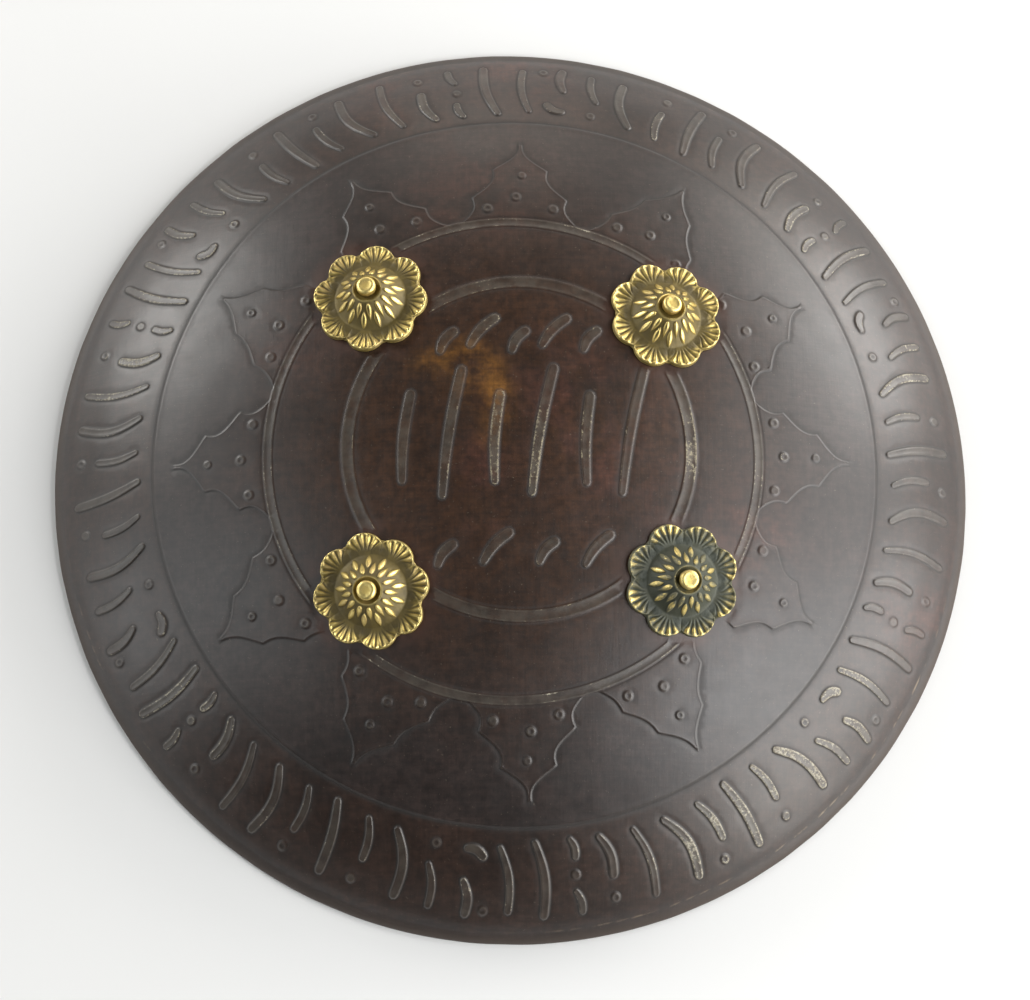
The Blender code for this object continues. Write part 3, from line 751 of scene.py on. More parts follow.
flower = {
    # Sizes of the solid that it stands for
    "gap": 0.0003, "reach": 0.0245, "domeFoot": 0.0153, "domeTop": 0.0106,
    "seat": 0.0056, "seatEdge": 0.0006, "seatDepth": 0.0010, "wall": 0.0018, "bore": 0.0023,
    "turns": 520, "domeRings": 26, "petalRings": 24,      # faces round it, over the dome and over the petals
    # The hide round it: where its relief starts, and how far its shade reaches
    "clearing": (0.3 * mm, 1.5 * mm), "shade": (-1.0 * mm, 7.0 * mm),
    # Dome: how far it lies under its gadroons' tops, powers of its bulge, and rows of gadroons by nearest and
    # farthest reach, widest place as a share of the length, half width, and shift
    "domeCap": 0.0009, "bulge": (1.28, 1.40), "gadroons": 13, "gadroonRise": 1.10 * mm, "blunt": (0.55, 0.3),
    "rows": ((9.5 * mm, 14.9 * mm, 0.50, 1.24 * mm, 0.0), (7.0 * mm, 12.2 * mm, 0.34, 1.15 * mm, 0.5)),
    "bedHollow": 0.86, "bedUpTo": 0.50,
    # Petals: edges as arcs, heights over the hide, and how uneven their edges are
    "petals": 8, "petalRound": 8.5 * mm, "arcInset": 0.0002, "petalInset": 0.10 * mm, "roundness": 2.2,
    "plateRise": 1.2 * mm, "petalRise": 2.3 * mm, "notchRise": 1.1 * mm, "grows": (0.0, 0.55),
    "uneven": 0.25 * mm, "unevenTurn": 3.7,
    "spoon": 0.26, "notchSpoon": 0.22, "spoonFrom": (0.0, 0.40),
    "rimRise": 0.30 * mm, "rimAt": (0.95, 0.065), "rimInNotch": 0.25,
    # Fluted fan: its half width as shares of half a petal's pitch, where it opens and ends, and its folds
    "fanFoot": 0.36, "fanEdge": 0.97, "fanOpens": (-0.15, 0.95), "fanSide": (0.86, 1.06),
    "flutes": 5.6, "fluteDepth": 0.34 * mm, "fluteTurn": 0.9, "fluteStep": 2.1,
    "flutesFrom": (0.10, 0.50), "flutesTo": (0.86, 0.99), "flutesFade": 0.75,
    # Rubbed and hollow places of the petals, which the finish reads
    "rimPolish": 1.1, "foldPolish": 0.70, "foldTop": (0.1, 0.9), "polishFrom": (0.30, 0.75),
    "foldHollow": 0.9, "foldBottom": (-1.0, -0.2), "notchHollow": 0.60, "plateHollow": 0.80,
    "plateEnds": (0.20, 0.70),
    # Foot of the casting: its outline outside the petals' edges, and how it falls
    "baseReach": 21.7 * mm, "baseRise": 0.85 * mm, "baseProud": 0.12 * mm, "baseFlare": 0.20 * mm,
    "baseRound": (0.94, 0.12), "baseFall": 0.45, "baseHollow": 0.75, "seatHollow": 0.15,
    "dents": ((420.0, 0.10 * mm, 0.0), (1300.0, 0.05 * mm, 4.0)),
}

# Plain turned blank that petals and gadroons are then cut from: its small steps and falls
blank = {
    "edgeStep": 0.0001, "domeFall": 0.008, "petalInset": 0.0006, "petalRise": 0.0024, "petalFall": 0.001,
    "baseInset": 0.0004, "baseRise": 0.0008, "baseFall": 0.0001, "underDrop": 0.0002, "hollowFoot": 0.0003,
}


def bossPlace(boss):
    reach = (medallion["radius"] + innerRing["radius"]) / 2.0 + boss["stray"]
    return reach, math.radians(boss["angle"])


# Frame of a boss: on the hide, Z along its normal, X turned to a petal's middle
def bossMatrix(boss):
    reach, angle = bossPlace(boss)
    x, y = polarPoints(reach, angle)
    normal = Vector(outerNormals(np.array([[x, y]]))[0])
    swing = Vector((0.0, 0.0, 1.0)).rotation_difference(normal).to_matrix().to_4x4()
    place = Matrix.Translation((x, y, float(outerHeight(reach))))
    return place @ swing @ Matrix.Rotation(math.radians(boss["turn"]), 4, "Z")


# Mean radius of the hide's curve where the bosses sit
def seatCurve():
    reach, step = (medallion["radius"] + innerRing["radius"]) / 2.0, 1e-4
    slope = float(outerSlope(reach))
    bend = float(outerSlope(reach + step) - outerSlope(reach - step)) / (2.0 * step)
    return 2.0 / (-bend / (1.0 + slope ** 2) ** 1.5 - slope / (reach * math.sqrt(1.0 + slope ** 2)))


# Height of the hide under a boss, with the gap that the boss keeps to it
def seatHeight(radius):
    curve = seatCurve()
    return np.sqrt(curve ** 2 - np.asarray(radius) ** 2) - curve + flower["gap"]


# Rings of the boss's blank from the bore out over dome and petals, and back under them:
# kind of ring, share of the way across its kind
def bossRings():
    made = [("seat", 0.0), ("seat", 1.0), ("edge", 0.0)]
    for kind, count in (("dome", flower["domeRings"]), ("petal", flower["petalRings"])):
        made += [(kind, i / count) for i in range(1, count + 1)]
    made += [("base", 0.0), ("base", 0.5), ("base", 1.0), ("under", 0.0), ("under", 1.0)]
    return made + [("hollow", 0.0), ("hollow", 0.5), ("hollow", 1.0)]


def blankPoint(kind, share):
    reach, domeFoot, top, seat = flower["reach"], flower["domeFoot"], flower["domeTop"], flower["seat"]
    edge, back, floor = seat + flower["seatEdge"], domeFoot - flower["wall"], top - flower["seatDepth"]
    roof = floor - flower["wall"] - blank["hollowFoot"]
    return {
        "seat": (flower["bore"] + (seat - flower["bore"]) * share, floor),
        "edge": (seat + blank["edgeStep"], top),
        "dome": (edge + (domeFoot - edge) * share, top - blank["domeFall"] * share ** 2),
        "petal": (domeFoot + (reach - blank["petalInset"] - domeFoot) * share,
                  blank["petalRise"] - blank["petalFall"] * share),
        "base": (reach - blank["baseInset"] * (1.0 - share), blank["baseRise"] - blank["baseFall"] * share),
        "under": (back if share else reach, -blank["underDrop"] * (1.0 - share)),
        "hollow": (back - (back - flower["bore"]) * share,
                   blank["hollowFoot"] + roof * min(1.0, 2.0 * share)),
    }[kind]


# Each surface gives its heights, and how rubbed and how hollow its places are
def domeSurface(radius, angle):
    top, domeFoot = flower["seat"] + flower["seatEdge"], flower["domeFoot"]
    pitch = fullTurn / flower["gadroons"]
    share = np.clip((radius - top) / (domeFoot - top), 0.0, 1.0)
    bed = seatHeight(radius) + flower["plateRise"]
    inner, outer = flower["bulge"]
    height = bed + (flower["domeTop"] - flower["domeCap"] - bed) * (1.0 - share ** inner) ** outer
    blunt, bluntAt = flower["blunt"]
    lobes = np.zeros(radius.shape)
    for near, far, widest, width, shift in flower["rows"]:
        along = np.clip((radius - near) / (far - near), 0.0, 1.0)
        aside = ((angle / pitch + shift + 0.5) % 1.0 - 0.5) * pitch * radius
        taper = (along / widest) ** (blunt * widest / bluntAt)
        taper = taper * ((1.0 - along) / (1.0 - widest)) ** (blunt * (1.0 - widest) / bluntAt)
        half = np.maximum(width * taper, 1e-6)
        lobe = np.sqrt(np.maximum(1.0 - (aside / half) ** 2, 0.0))
        raiseTo(lobes, lobe * np.sqrt(np.clip(taper, 0.0, 1.0)))
    hollow = flower["bedHollow"] * (1.0 - smooth(0.0, flower["bedUpTo"], lobes))
    return height + flower["gadroonRise"] * lobes, lobes ** 2, hollow


# A petal's edge is an arc of a circle, a little uneven from petal to petal
def petalEdge(turn, number, seed):
    aside, curve = fullTurn * turn / flower["petals"], flower["petalRound"]
    middle = flower["reach"] - flower["arcInset"] - curve
    arc = middle * np.cos(aside) + np.sqrt(curve ** 2 - (middle * np.sin(aside)) ** 2)
    uneven = flower["uneven"] * np.sin(flower["unevenTurn"] * number + seed)
    return arc + uneven * (1.0 - np.abs(2.0 * turn)) - flower["petalInset"]


def petalSurface(radius, share, turn, number, seed):
    crown = np.sqrt(np.maximum(1.0 - np.abs(2.0 * turn) ** flower["roundness"], 0.0))
    fan = flower["fanFoot"] + (flower["fanEdge"] - flower["fanFoot"]) * smooth(*flower["fanOpens"], share)
    across = 2.0 * turn / fan
    inFan = 1.0 - smooth(*flower["fanSide"], np.abs(across))
    body = flower["notchRise"] + (flower["petalRise"] - flower["notchRise"]) * crown
    body = flower["plateRise"] + (body - flower["plateRise"]) * smooth(*flower["grows"], share)
    spoon = flower["spoon"] * np.sin(math.pi * share) * inFan + flower["notchSpoon"] * (1.0 - inFan)
    rim = hump(*flower["rimAt"], share) * (flower["rimInNotch"] + (1.0 - flower["rimInNotch"]) * crown)
    ownTurn = flower["fluteTurn"] * np.sin(flower["fluteStep"] * number + seed)
    fold = np.cos(math.pi * flower["flutes"] * across + ownTurn)
    fading = 1.0 - flower["flutesFade"] * smooth(*flower["flutesTo"], share)
    fluting = smooth(*flower["flutesFrom"], share) * fading * inFan
    height = seatHeight(radius) + body * (1.0 - spoon * smooth(*flower["spoonFrom"], share))
    height += flower["rimRise"] * rim + flower["fluteDepth"] * fold * fluting
    polish = flower["foldPolish"] * smooth(*flower["foldTop"], fold) * fluting
    polish = flower["rimPolish"] * rim + polish * smooth(*flower["polishFrom"], share)
    hollow = flower["foldHollow"] * (1.0 - smooth(*flower["foldBottom"], fold)) * fluting
    hollow += flower["notchHollow"] * (1.0 - inFan)
    hollow += flower["plateHollow"] * (1.0 - smooth(*flower["plateEnds"], share))
    return height, np.clip(polish, 0.0, 1.0), np.clip(hollow, 0.0, 1.0)


def shapeBoss(mesh, boss):
    sections = bossRings()
    turned = np.array([blankPoint(*section) for section in sections])
    places = readPlaces(mesh)
    radius, angle = polarPlaces(places)
    gap = (radius[:, None] - turned[:, 0]) ** 2 + (places[:, 2][:, None] - turned[:, 1]) ** 2
    ring = gap.argmin(axis=1)
    kinds, shares = (np.array(column)[ring] for column in zip(*sections))
    dome, petal, base, under = (kinds == kind for kind in ("dome", "petal", "base", "under"))
    height, polish, hollow = places[:, 2].copy(), np.zeros(len(ring)), np.zeros(len(ring))
    height[dome], polish[dome], hollow[dome] = domeSurface(radius[dome], angle[dome])

    turn = (angle * flower["petals"] / fullTurn + 0.5) % 1.0 - 0.5
    number = np.round(angle * flower["petals"] / fullTurn) % flower["petals"]
    edge = petalEdge(turn, number, boss["seed"])
    radius[petal] = flower["domeFoot"] + (edge[petal] - flower["domeFoot"]) * shares[petal]
    height[petal], polish[petal], hollow[petal] = petalSurface(
        radius[petal], shares[petal], turn[petal], number[petal], boss["seed"])

    step, (tight, easing) = shares[base], flower["baseRound"]
    outline = edge[base] + flower["baseProud"] + flower["baseFlare"] * step
    roundFoot = flower["baseReach"] * np.minimum(1.0, tight + easing * step)
    radius[base] = np.minimum(np.maximum(outline, roundFoot), flower["reach"])
    height[base] = seatHeight(radius[base]) + flower["baseRise"] * (1.0 - flower["baseFall"] * step ** 2)
    outline = np.maximum(edge[under] + flower["baseProud"] + flower["baseFlare"], flower["baseReach"])
    radius[under] = np.where(shares[under] < 0.5, np.minimum(outline, flower["reach"]),
                             flower["domeFoot"] - flower["wall"])
    height[under] = seatHeight(radius[under])
    hollow[base] = flower["baseHollow"] * (1.0 - step)
    hollow[kinds == "seat"] = flower["seatHollow"]
    hollow[under | (kinds == "hollow")] = 1.0
    polish[kinds == "edge"] = 1.0

    shaped = np.column_stack([polarPoints(radius, angle), height])
    shown = dome | petal | base | (kinds == "edge")
    shaped[:, 2] += np.where(shown, noiseAt(shaped, flower["dents"], boss["seed"]), 0.0)
    writePlaces(mesh, shaped)
    store(mesh, polish=polish, hollow=hollow)


def makeBossBlank():
    profile = [blankPoint(*section) for section in bossRings()]
    return turnProfile(drawProfile("bossBlank", profile + [profile[0]]), flower["turns"], closedLine=True)


# Stud with a domed head, shank through boss and hide, and a clenched end behind
studHead = {
    "shank": 0.0020, "radius": 0.0041, "height": 0.0040, "tail": 0.0042, "tailHeight": 0.0015,
    "turns": 72, "roundPoints": 7, "tailGap": 0.15 * mm,
    # Rubbed flat top, as share of the radius and drop in mm, and its rounding
    "face": ((0.0, 0.22), (0.30, 0.20), (0.50, 0.12), (0.62, 0.02)), "flat": 0.66, "round": 0.34,
    "sides": (0.5 * mm, 0.4 * mm), "taper": (0.97, 0.90),
    # Clenched end, as shares of its radius and height
    "clench": ((0.96, 0.0), (1.0, 0.25), (0.93, 0.60), (0.72, 0.88), (0.35, 1.0), (0.0, 1.0)),
    # Knocks, with how deep they are round it, more on the tail, and on the face
    "knocks": ((520.0, 1.0, 0.0), (1500.0, 0.5, 2.0)), "dent": 0.045, "tailDent": 0.8, "faceDent": 0.10 * mm,
    "faceDentMost": 0.3 * mm, "faceFrom": 1.6 * mm,
    "rubbedAt": (3.6 * mm, 0.7 * mm), "rubbedFrom": (1.5 * mm, 2.6 * mm), "facePolish": 0.35,
    "seatHollow": 0.5, "hollowTo": (9.8 * mm, 11.0 * mm),
}


def hideDepth(reach):
    slope = float(outerSlope(reach))
    return float(outerHeight(reach) - innerHeight(reach)) / math.sqrt(1.0 + slope ** 2)


def studProfile(boss):
    under = flower["domeTop"] - flower["seatDepth"] + flower["gap"]
    top, radius, shank = under + studHead["height"], studHead["radius"], studHead["shank"]
    profile = [(share * radius, top - drop * mm) for share, drop in studHead["face"]]
    shoulder = top - studHead["round"] * radius
    for i in range(1, studHead["roundPoints"] + 1):
        turn = math.radians(90.0 * i / studHead["roundPoints"])
        profile.append((radius * (studHead["flat"] + studHead["round"] * math.sin(turn)),
                        shoulder + (top - shoulder) * math.cos(turn)))
    (upper, lower), (wide, narrow) = studHead["sides"], studHead["taper"]
    profile += [(radius, shoulder - upper), (wide * radius, under + lower), (narrow * radius, under)]
    tail = -hideDepth(bossPlace(boss)[0]) - flower["gap"] - studHead["tailGap"]
    profile += [(shank, under), (shank, tail)]
    return profile + [(share * studHead["tail"], tail - drop * studHead["tailHeight"])
                      for share, drop in studHead["clench"]]


def makeStud(name, boss):
    stud = turnProfile(drawProfile(name, studProfile(boss)), studHead["turns"])
    places = readPlaces(stud.data)
    knocks = noiseAt(places, studHead["knocks"], boss["seed"])
    wide = polarPlaces(places)[0] > studHead["shank"] + 0.1 * mm
    top, tail = places[:, 2] > flower["domeTop"] + studHead["faceFrom"], places[:, 2] < 0.0
    places[:, :2] *= (1.0 + studHead["dent"] * knocks * wide * (1.0 + studHead["tailDent"] * tail))[:, None]
    dents = np.clip(studHead["faceDent"] * (knocks + 1.0), 0.0, studHead["faceDentMost"])
    places[:, 2] -= np.where(top, dents, 0.0)
    above, width = studHead["rubbedAt"]
    rubbed = hump(flower["domeTop"] + above, width, places[:, 2])
    rubbed *= smooth(*studHead["rubbedFrom"], polarPlaces(places)[0])
    hollow = studHead["seatHollow"] * (1.0 - smooth(*studHead["hollowTo"], places[:, 2]))
    writePlaces(stud.data, places)
    store(stud.data, polish=np.clip(rubbed + studHead["facePolish"] * top, 0.0, 1.0), hollow=hollow)
    return stud


# Nodes: a shorthand for placing one, and sums and mixes that take sockets or plain values
def place(tree, kind, **settings):
    made = tree.nodes.new(kind)
    for key, value in settings.items():
        setattr(made, key, value)
    return made


def feed(tree, socket, value):
    if isinstance(value, bpy.types.NodeSocket):
        tree.links.new(value, socket)
    elif isinstance(value, tuple) and len(value) == 3 and socket.type == "RGBA":
        socket.default_value = (*value, 1.0)
    else:
        socket.default_value = value


def reckon(tree, operation, first, second, clamp=False):
    made = place(tree, "ShaderNodeMath", operation=operation, use_clamp=clamp)
    feed(tree, made.inputs[0], first)
    feed(tree, made.inputs[1], second)
    return made.outputs[0]


def times(tree, first, *others, clamp=False):
    for other in others:
        first = reckon(tree, "MULTIPLY", first, other, clamp)
    return first


def plus(tree, first, *others, clamp=False):
    for other in others:
        first = reckon(tree, "ADD", first, other, clamp)
    return first


# A colour laid over another through masks that multiply each other
def laidOver(tree, under, over, *masks):
    made = place(tree, "ShaderNodeMix", data_type="RGBA")
    for index, value in ((0, times(tree, *masks)), (6, under), (7, over)):      # 6 and 7 are the colours
        feed(tree, made.inputs[index], value)
    return made.outputs[2]


def ramp(tree, value, low, high, toLow=0.0, toHigh=1.0):
    made = place(tree, "ShaderNodeMapRange", interpolation_type="SMOOTHSTEP", clamp=True)
    for socket, given in zip(made.inputs, (value, low, high, toLow, toHigh)):
        feed(tree, socket, given)
    return made.outputs[0]


def grain(tree, vector, scale, detail, roughness=0.55):
    made = place(tree, "ShaderNodeTexNoise")
    for name, value in (("Vector", vector), ("Scale", scale), ("Detail", detail), ("Roughness", roughness)):
        feed(tree, made.inputs[name], value)
    return made.outputs[0]


# Patchy mask: scale, detail and roughness of its grain, then the ramp's limits
def patchy(tree, vector, scale, detail, roughness, *limits):
    return ramp(tree, grain(tree, vector, scale, detail, roughness), *limits)


# Faint brush marks along one direction, as values round 1
def streaks(tree, coords, stretch):
    drawn = place(tree, "ShaderNodeMapping")
    feed(tree, drawn.inputs["Vector"], coords)
    drawn.inputs["Scale"].default_value = stretch
    return patchy(tree, drawn.outputs[0], *hideFinish["streaks"])


def newGroup(name, outputs, **inputs):
    group = bpy.data.node_groups.new(name, "ShaderNodeTree")
    group.interface.new_socket(name="Place", in_out="INPUT", socket_type="NodeSocketVector")
    for label, value in inputs.items():
        socket = group.interface.new_socket(name=label, in_out="INPUT", socket_type="NodeSocketFloat")
        socket.default_value = value
    for label in outputs:
        group.interface.new_socket(name=label, in_out="OUTPUT", socket_type="NodeSocketFloat")
    return group, place(group, "NodeGroupInput").outputs, place(group, "NodeGroupOutput").inputs


# Figures of the shared groups: grains, the share of each, and where each mask starts and is full
wornForm = {
    "stretch": (75.0, 3.0), "stretchShare": 0.80, "speck": (2.0, 0.65), "speckShare": 0.85,
    "start": 1.22, "amountShare": 0.62, "crestShare": 0.85, "edge": (0.0, 0.14), "crestFrom": (0.05, 0.30),
}
cloudForm = {"grain": (5.0, 0.6), "limits": (0.30, 0.70)}
skinForm = {"fine": (3.0, 0.6), "fineShare": 0.25, "coarse": (4.0, 0.55), "pits": (0.56, 0.70)}


# Worn mask: crests lose their finish in speckled, broken stretches
def wornGroup():
    group, given, out = newGroup("wornCrest", ["Mask"], Crest=0.0, Amount=0.5, Speckle=700.0)
    form = wornForm
    stretch = grain(group, given["Place"], *form["stretch"])
    speck = grain(group, given["Place"], given["Speckle"], *form["speck"])
    level = plus(group, times(group, stretch, form["stretchShare"]), times(group, speck, form["speckShare"]))
    limit = reckon(group, "SUBTRACT", form["start"], times(group, given["Amount"], form["amountShare"]))
    edge = times(group, reckon(group, "SUBTRACT", given["Crest"], 1.0), form["crestShare"])
    over = plus(group, reckon(group, "SUBTRACT", level, limit), edge)
    crests = ramp(group, given["Crest"], *form["crestFrom"])
    mask = times(group, ramp(group, over, *form["edge"]), crests, clamp=True)
    feed(group, out["Mask"], mask)
    return group


# Slow cloudy variation between two values, for colour and gloss
def cloudGroup():
    group, given, out = newGroup("clouds", ["Value"], Scale=40.0, Low=0.8, High=1.2)
    cloud = grain(group, given["Place"], given["Scale"], *cloudForm["grain"])
    feed(group, out["Value"], ramp(group, cloud, *cloudForm["limits"], given["Low"], given["High"]))
    return group


# Fine skin: pits and grain of the lacquer or of the casting, as a height
def skinGroup():
    group, given, out = newGroup("skin", ["Height", "Pits"], Fine=1500.0, Coarse=300.0, CoarseShare=0.5)
    fine = grain(group, given["Place"], given["Fine"], *skinForm["fine"])
    coarse = grain(group, given["Place"], given["Coarse"], *skinForm["coarse"])
    coarse = times(group, coarse, given["CoarseShare"])
    feed(group, out["Height"], plus(group, times(group, fine, skinForm["fineShare"]), coarse))
    feed(group, out["Pits"], ramp(group, fine, *skinForm["pits"]))
    return group


def useGroup(tree, group, **given):
    made = place(tree, "ShaderNodeGroup", node_tree=group)
    for name, value in given.items():
        feed(tree, made.inputs[name], value)
    return made.outputs


def attribute(tree, name):
    return place(tree, "ShaderNodeAttribute", attribute_name=name).outputs["Fac"]


def newMaterial(name):
    material = bpy.data.materials.new(name)
    material.use_nodes = True
    tree = material.node_tree
    return material, tree, tree.nodes["Principled BSDF"], place(tree, "ShaderNodeTexCoord").outputs["Object"]


def addBump(tree, shader, strength, height):
    bump = place(tree, "ShaderNodeBump")
    for name, value in (("Strength", strength), ("Distance", 0.1 * mm), ("Height", height)):
        feed(tree, bump.inputs[name], value)
    feed(tree, shader.inputs["Normal"], bump.outputs[0])


# Colours, gloss, and for each patchy mask its scale, detail, roughness and ramp
hideFinish = {
    # The near-black colour below is for the relief's feet and the pellets' hollows: dirt in the grooves, and
    # painted shade where the relief meets the ground
    "field": (0.0180, 0.0122, 0.0110), "warm": (0.0272, 0.0112, 0.0046), "darkDirtAndShade": (0.006, 0.005, 0.004),
    "amber": (0.120, 0.050, 0.008), "red": (0.050, 0.018, 0.011), "halo": (0.055, 0.024, 0.015),
    "worn": (0.44, 0.42, 0.35), "wornWarm": (0.27, 0.23, 0.14), "wornBrown": (0.13, 0.105, 0.075),
    "faded": (0.105, 0.094, 0.076), "rim": (0.34, 0.26, 0.17), "edge": (0.044, 0.025, 0.014),
    "specular": 0.75, "bump": 0.35, "roughness": 0.36, "roughVary": 0.12, "roughWarm": -0.03,
    "roughWorn": 0.22, "roughLip": 0.16,
    "blotch": (60.0, 4.0, 0.55, 0.38, 0.62), "amberPatch": (90.0, 4.0, 0.55, 0.30, 0.60),
    "pale": (160.0, 4.0, 0.55, 0.35, 0.65, 0.26, 0.72), "palest": (900.0, 3.0, 0.7, 0.40, 0.62),
    "specks": (1000.0, 2.0, 0.55, 0.68, 0.76), "frayed": (110.0, 8.0, 0.75, 0.40, 0.56),
    "streaks": (55.0, 4.0, 0.6, 0.32, 0.68, 0.89, 1.12), "brushed": ((1.0, 14.0, 1.0), (14.0, 1.0, 1.0)),
    # The first value on this line is how strongly that near-black dirt and painted shade shows
    "dirtAndShade": 0.75, "speckTint": 0.5, "lip": (0.0020, 0.0090, 1.0, 0.0), "lipTint": 0.7,
    "rimLine": ((0.0058, 0.0065), (0.0069, 0.0078, 1.0, 0.0)),      # heights where a tan line shows
}


def hideMaterial(groups):
    material, tree, shader, coords = newMaterial("lacqueredHide")
    look = hideFinish
    crest, groove, warm, rubbed = (attribute(tree, name) for name in ("crest", "groove", "warm", "rubbed"))
    worn = useGroup(tree, groups["worn"], Place=coords, Crest=crest, Amount=rubbed, Speckle=760.0)[0]
    skin = useGroup(tree, groups["skin"], Place=coords, Fine=1500.0, Coarse=260.0, CoarseShare=0.8)
    cloud = useGroup(tree, groups["clouds"], Place=coords, Scale=34.0, Low=0.74, High=1.26)[0]
    mottle = useGroup(tree, groups["clouds"], Place=coords, Scale=300.0, Low=0.70, High=1.35)[0]
    brushed = times(tree, *(streaks(tree, coords, stretch) for stretch in look["brushed"]))
    blotch = patchy(tree, coords, *look["blotch"])
    colour = laidOver(tree, look["field"], look["warm"], warm)
    colour = laidOver(tree, colour, look["red"], attribute(tree, "red"), blotch)
    patch = patchy(tree, coords, *look["amberPatch"])
    colour = laidOver(tree, colour, look["amber"], attribute(tree, "amber"), patch)
    shaded = place(tree, "ShaderNodeVectorMath", operation="SCALE")
    feed(tree, shaded.inputs[0], colour)
    feed(tree, shaded.inputs["Scale"], times(tree, cloud, times(tree, mottle, brushed)))
    # Near-black at the relief's feet and in the pellets' hollows: dirt in the grooves, and painted shade
    # where the relief meets the ground
    colour = laidOver(tree, shaded.outputs[0], look["darkDirtAndShade"], groove, look["dirtAndShade"])
    colour = laidOver(tree, colour, look["halo"], attribute(tree, "bossShade"), blotch)
    pale = patchy(tree, coords, *look["pale"])
    colour = laidOver(tree, colour, look["faded"], ramp(tree, crest, 0.55, 0.75), pale, rubbed)
    specks = patchy(tree, coords, *look["specks"])
    colour = laidOver(tree, colour, look["wornBrown"], specks, look["speckTint"])
    bare = laidOver(tree, look["worn"], look["wornWarm"], warm)
    bare = laidOver(tree, look["wornBrown"], bare, patchy(tree, coords, *look["palest"]))
    colour = laidOver(tree, colour, bare, worn)
    parted = place(tree, "ShaderNodeSeparateXYZ")
    feed(tree, parted.inputs[0], coords)
    lip = ramp(tree, parted.outputs["Z"], *look["lip"])
    colour = laidOver(tree, colour, look["edge"], lip, look["lipTint"])
    line = (ramp(tree, parted.outputs["Z"], *limits) for limits in look["rimLine"])
    frayed = patchy(tree, coords, *look["frayed"])
    colour = laidOver(tree, colour, look["rim"], *line, attribute(tree, "rimWear"), frayed)
    feed(tree, shader.inputs["Base Color"], colour)
    rough = plus(tree, look["roughness"], times(tree, grain(tree, coords, 120.0, 5.0), look["roughVary"]),
                 times(tree, warm, look["roughWarm"]),
                 times(tree, reckon(tree, "MAXIMUM", worn, groove), look["roughWorn"]),
                 times(tree, lip, look["roughLip"]))
    feed(tree, shader.inputs["Roughness"], rough)
    shader.inputs["Specular IOR Level"].default_value = look["specular"]
    addBump(tree, shader, look["bump"], plus(tree, skin["Height"], brushed))
    return material


brassFinish = {
    "bright": (0.88, 0.70, 0.27), "middle": (0.58, 0.42, 0.115), "pink": (0.62, 0.34, 0.19),
    "olive": (0.098, 0.094, 0.048), "oliveDeep": (0.060, 0.042, 0.010),
    "green": (0.044, 0.064, 0.056), "greenDeep": (0.020, 0.028, 0.023),
    "cloudFilm": 0.7, "filmTint": 0.85, "deepTint": 0.84, "rubbedTint": 0.85,
    "pinkFrom": 0.55, "pinkTint": 0.5,
    "metal": 0.86, "dull": -0.65, "rubbedMetal": 0.4, "roughDull": 0.20, "roughRubbed": 0.08, "bump": 0.25,
    "shine": 0.95,
    "boss": {"aged": 1.0, "shine": 0.0, "roughness": 0.36},
    "knob": {"aged": 0.4, "shine": 0.4, "roughness": 0.50},
}


def brassMaterial(name, groups, boss, form):
    material, tree, shader, coords = newMaterial(name)
    look, own = brassFinish, brassFinish[form]
    polish, hollow = attribute(tree, "polish"), attribute(tree, "hollow")
    cloud = useGroup(tree, groups["clouds"], Place=coords, Scale=160.0 + boss["seed"], Low=0.0, High=1.0)[0]
    skin = useGroup(tree, groups["skin"], Place=coords, Fine=2600.0, Coarse=700.0, CoarseShare=0.7)
    shine = look["shine"] * boss["shine"] + own["shine"]
    rubbed = useGroup(tree, groups["worn"], Place=coords, Crest=polish, Amount=shine, Speckle=1800.0)[0]
    film = plus(tree, times(tree, cloud, look["cloudFilm"]), hollow)
    film = times(tree, film, boss["patina"] * own["aged"], clamp=True)
    deep = look[boss["film"] + "Deep"]
    pinkish = reckon(tree, "SUBTRACT", cloud, look["pinkFrom"], clamp=True)
    colour = laidOver(tree, look["middle"], look["bright"], polish)
    colour = laidOver(tree, colour, look["pink"], pinkish, look["pinkTint"])
    colour = laidOver(tree, colour, look[boss["film"]], film, look["filmTint"])
    colour = laidOver(tree, colour, deep, hollow, look["deepTint"])
    colour = laidOver(tree, colour, look["bright"], rubbed, look["rubbedTint"])
    colour = laidOver(tree, colour, deep, skin["Pits"], boss["pitted"])
    feed(tree, shader.inputs["Base Color"], colour)
    dull = reckon(tree, "MAXIMUM", film, hollow)
    metal = plus(tree, times(tree, dull, look["dull"]), times(tree, rubbed, look["rubbedMetal"]))
    feed(tree, shader.inputs["Metallic"], plus(tree, metal, look["metal"], clamp=True))
    rough = plus(tree, own["roughness"], times(tree, dull, look["roughDull"]))
    rough = reckon(tree, "SUBTRACT", rough, times(tree, rubbed, look["roughRubbed"]))
    feed(tree, shader.inputs["Roughness"], rough)
    addBump(tree, shader, look["bump"], skin["Height"])
    return material


def dress(piece, material, node):
    piece.data.materials.clear()
    piece.data.materials.append(material)
    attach(piece, "root")
    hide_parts(node)


def makeFittings(groups):
    bossBlank = makeBossBlank()
    for name, boss in bosses.items():
        flowerBoss = bossBlank.copy()
        flowerBoss.data = bossBlank.data.copy()
        flowerBoss.name = "flowerBoss." + name
        bpy.context.scene.collection.objects.link(flowerBoss)
        shapeBoss(flowerBoss.data, boss)
        stud = makeStud("stud." + name, boss)
        for piece, form, kind in ((flowerBoss, "boss", "boss"), (stud, "knob", "stud")):
            piece.data.transform(bossMatrix(boss))
            makeActive(piece)
            bpy.ops.object.shade_smooth()
            brass = brassMaterial(piece.name, groups, boss, form)
            dress(piece, brass, kind + "_" + boss["node"])
        print("boss:", name, len(flowerBoss.data.polygons), "faces")
    bpy.data.objects.remove(bossBlank, do_unlink=True)


ground = {"half": 6.0, "drop": 0.0002, "colour": (0.80, 0.80, 0.795), "roughness": 1.0}


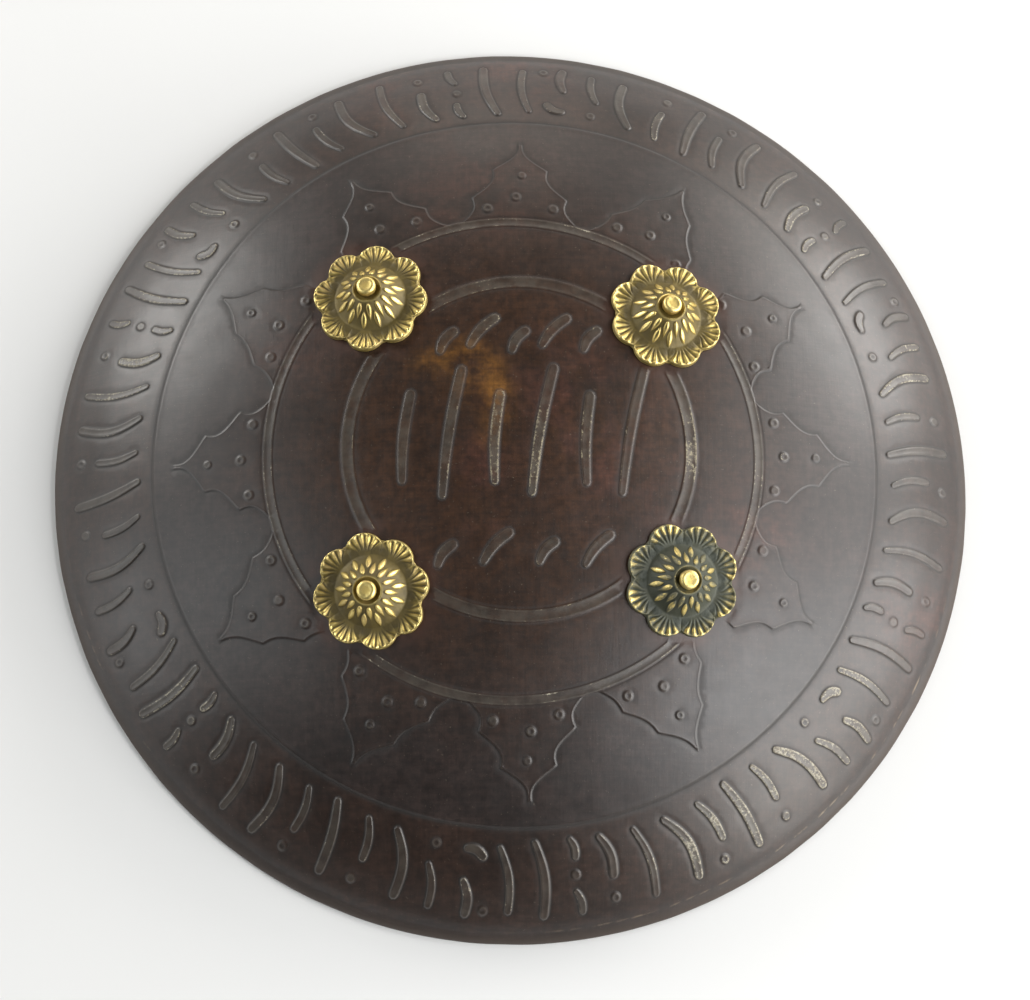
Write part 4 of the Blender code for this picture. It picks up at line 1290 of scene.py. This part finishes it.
def makeFloor():
    clearSelection()
    bpy.ops.mesh.primitive_plane_add(size=2.0 * ground["half"], location=(0.0, 0.0, -ground["drop"]))
    floor = bpy.context.object
    floor.name = "floor"
    material, tree, shader = newMaterial("paleFloor")[:3]
    feed(tree, shader.inputs["Base Color"], ground["colour"])
    shader.inputs["Roughness"].default_value = ground["roughness"]
    shader.inputs["Specular IOR Level"].default_value = 0.0
    floor.data.materials.append(material)


# Round soft boxes: azimuth from +X towards +Y and elevation in degrees, power, colour
lights = {
    "across": 1.0, "away": 2.0, "room": (1.0, 1.0, 1.0), "roomStrength": 0.01,
    "boxes": {
        "rightLow": (350.0, 17.0, 19.0, (1.0, 1.0, 0.99)),
        "rightUpper": (30.0, 17.0, 25.0, (1.0, 0.99, 0.97)),
        "rightHigh": (12.0, 47.0, 6.6, (1.0, 0.98, 0.95)),
        "upperRight": (50.0, 17.0, 9.5, (1.0, 0.97, 0.91)),
        "upper": (90.0, 17.0, 6.0, (1.0, 0.91, 0.82)),
        "upperLeft": (143.5, 18.0, 23.5, (1.0, 0.99, 0.96)),
        "leftLow": (190.0, 17.0, 7.0, (0.96, 0.99, 1.0)),
        "leftHigh": (190.0, 47.0, 5.8, (0.94, 0.99, 1.0)),
        "lowerRight": (320.0, 17.0, 17.5, (1.0, 0.98, 0.94)),
        "lowerRightHigh": (330.0, 45.0, 20.0, (0.98, 0.99, 1.0)),
    },
}


def makeLights():
    for name, (azimuth, elevation, power, colour) in lights["boxes"].items():
        level = math.cos(math.radians(elevation))
        x, y = polarPoints(level, math.radians(azimuth))
        towards = Vector((x, y, math.sin(math.radians(elevation))))
        lamp = bpy.data.lights.new(name, "AREA")
        lamp.shape = "DISK"
        lamp.size = lights["across"]
        lamp.energy = power
        lamp.color = colour
        holder = bpy.data.objects.new(name, lamp)
        holder.location = towards * lights["away"]
        holder.rotation_euler = towards.to_track_quat("Z", "Y").to_euler()
        holder.visible_camera = False
        bpy.context.scene.collection.objects.link(holder)
    world = bpy.data.worlds.new("softRoom")
    world.use_nodes = True
    sky = world.node_tree.nodes["Background"]
    sky.inputs["Color"].default_value = (*lights["room"], 1.0)
    sky.inputs["Strength"].default_value = lights["roomStrength"]
    bpy.context.scene.world = world


# Where the camera stands round the shield, and the picture that it frames
picture = {
    "width": 1030, "height": 1000,
    "focal": 3189.2,                       # in pixels of the picture
    "crownPlace": (512.57, 487.14),        # pixel under which the origin lies
    "distance": 1.4,
    "fromAbove": math.radians(13.364),     # how far the view leans from straight down
    "turn": math.radians(-9.385),          # side from which it leans
    "roll": math.radians(8.870),
    "sensor": 36.0, "farthest": 50.0,
}


def makeCamera():
    data = bpy.data.cameras.new("camera")
    data.sensor_width = picture["sensor"]
    data.lens = picture["focal"] * picture["sensor"] / picture["width"]
    data.shift_x = (picture["width"] / 2.0 - picture["crownPlace"][0]) / picture["width"]
    data.shift_y = (picture["crownPlace"][1] - picture["height"] / 2.0) / picture["width"]
    data.clip_end = picture["farthest"]
    camera = bpy.data.objects.new("camera", data)
    turned = Matrix.Rotation(picture["turn"], 4, "Z") @ Matrix.Rotation(picture["fromAbove"], 4, "X")
    turned = turned @ Matrix.Rotation(picture["roll"], 4, "Z")
    camera.matrix_world = turned @ Matrix.Translation((0.0, 0.0, picture["distance"]))
    bpy.context.scene.collection.objects.link(camera)
    bpy.context.scene.camera = camera


makeCamera()
makeLights()
makeFloor()
print("camera, light and floor")
groups = {"worn": wornGroup(), "clouds": cloudGroup(), "skin": skinGroup()}
dish = makeHide()
dress(dish, hideMaterial(groups), "hide_dish")
makeFittings(groups)
bpy.context.scene.view_settings.view_transform = "Standard"
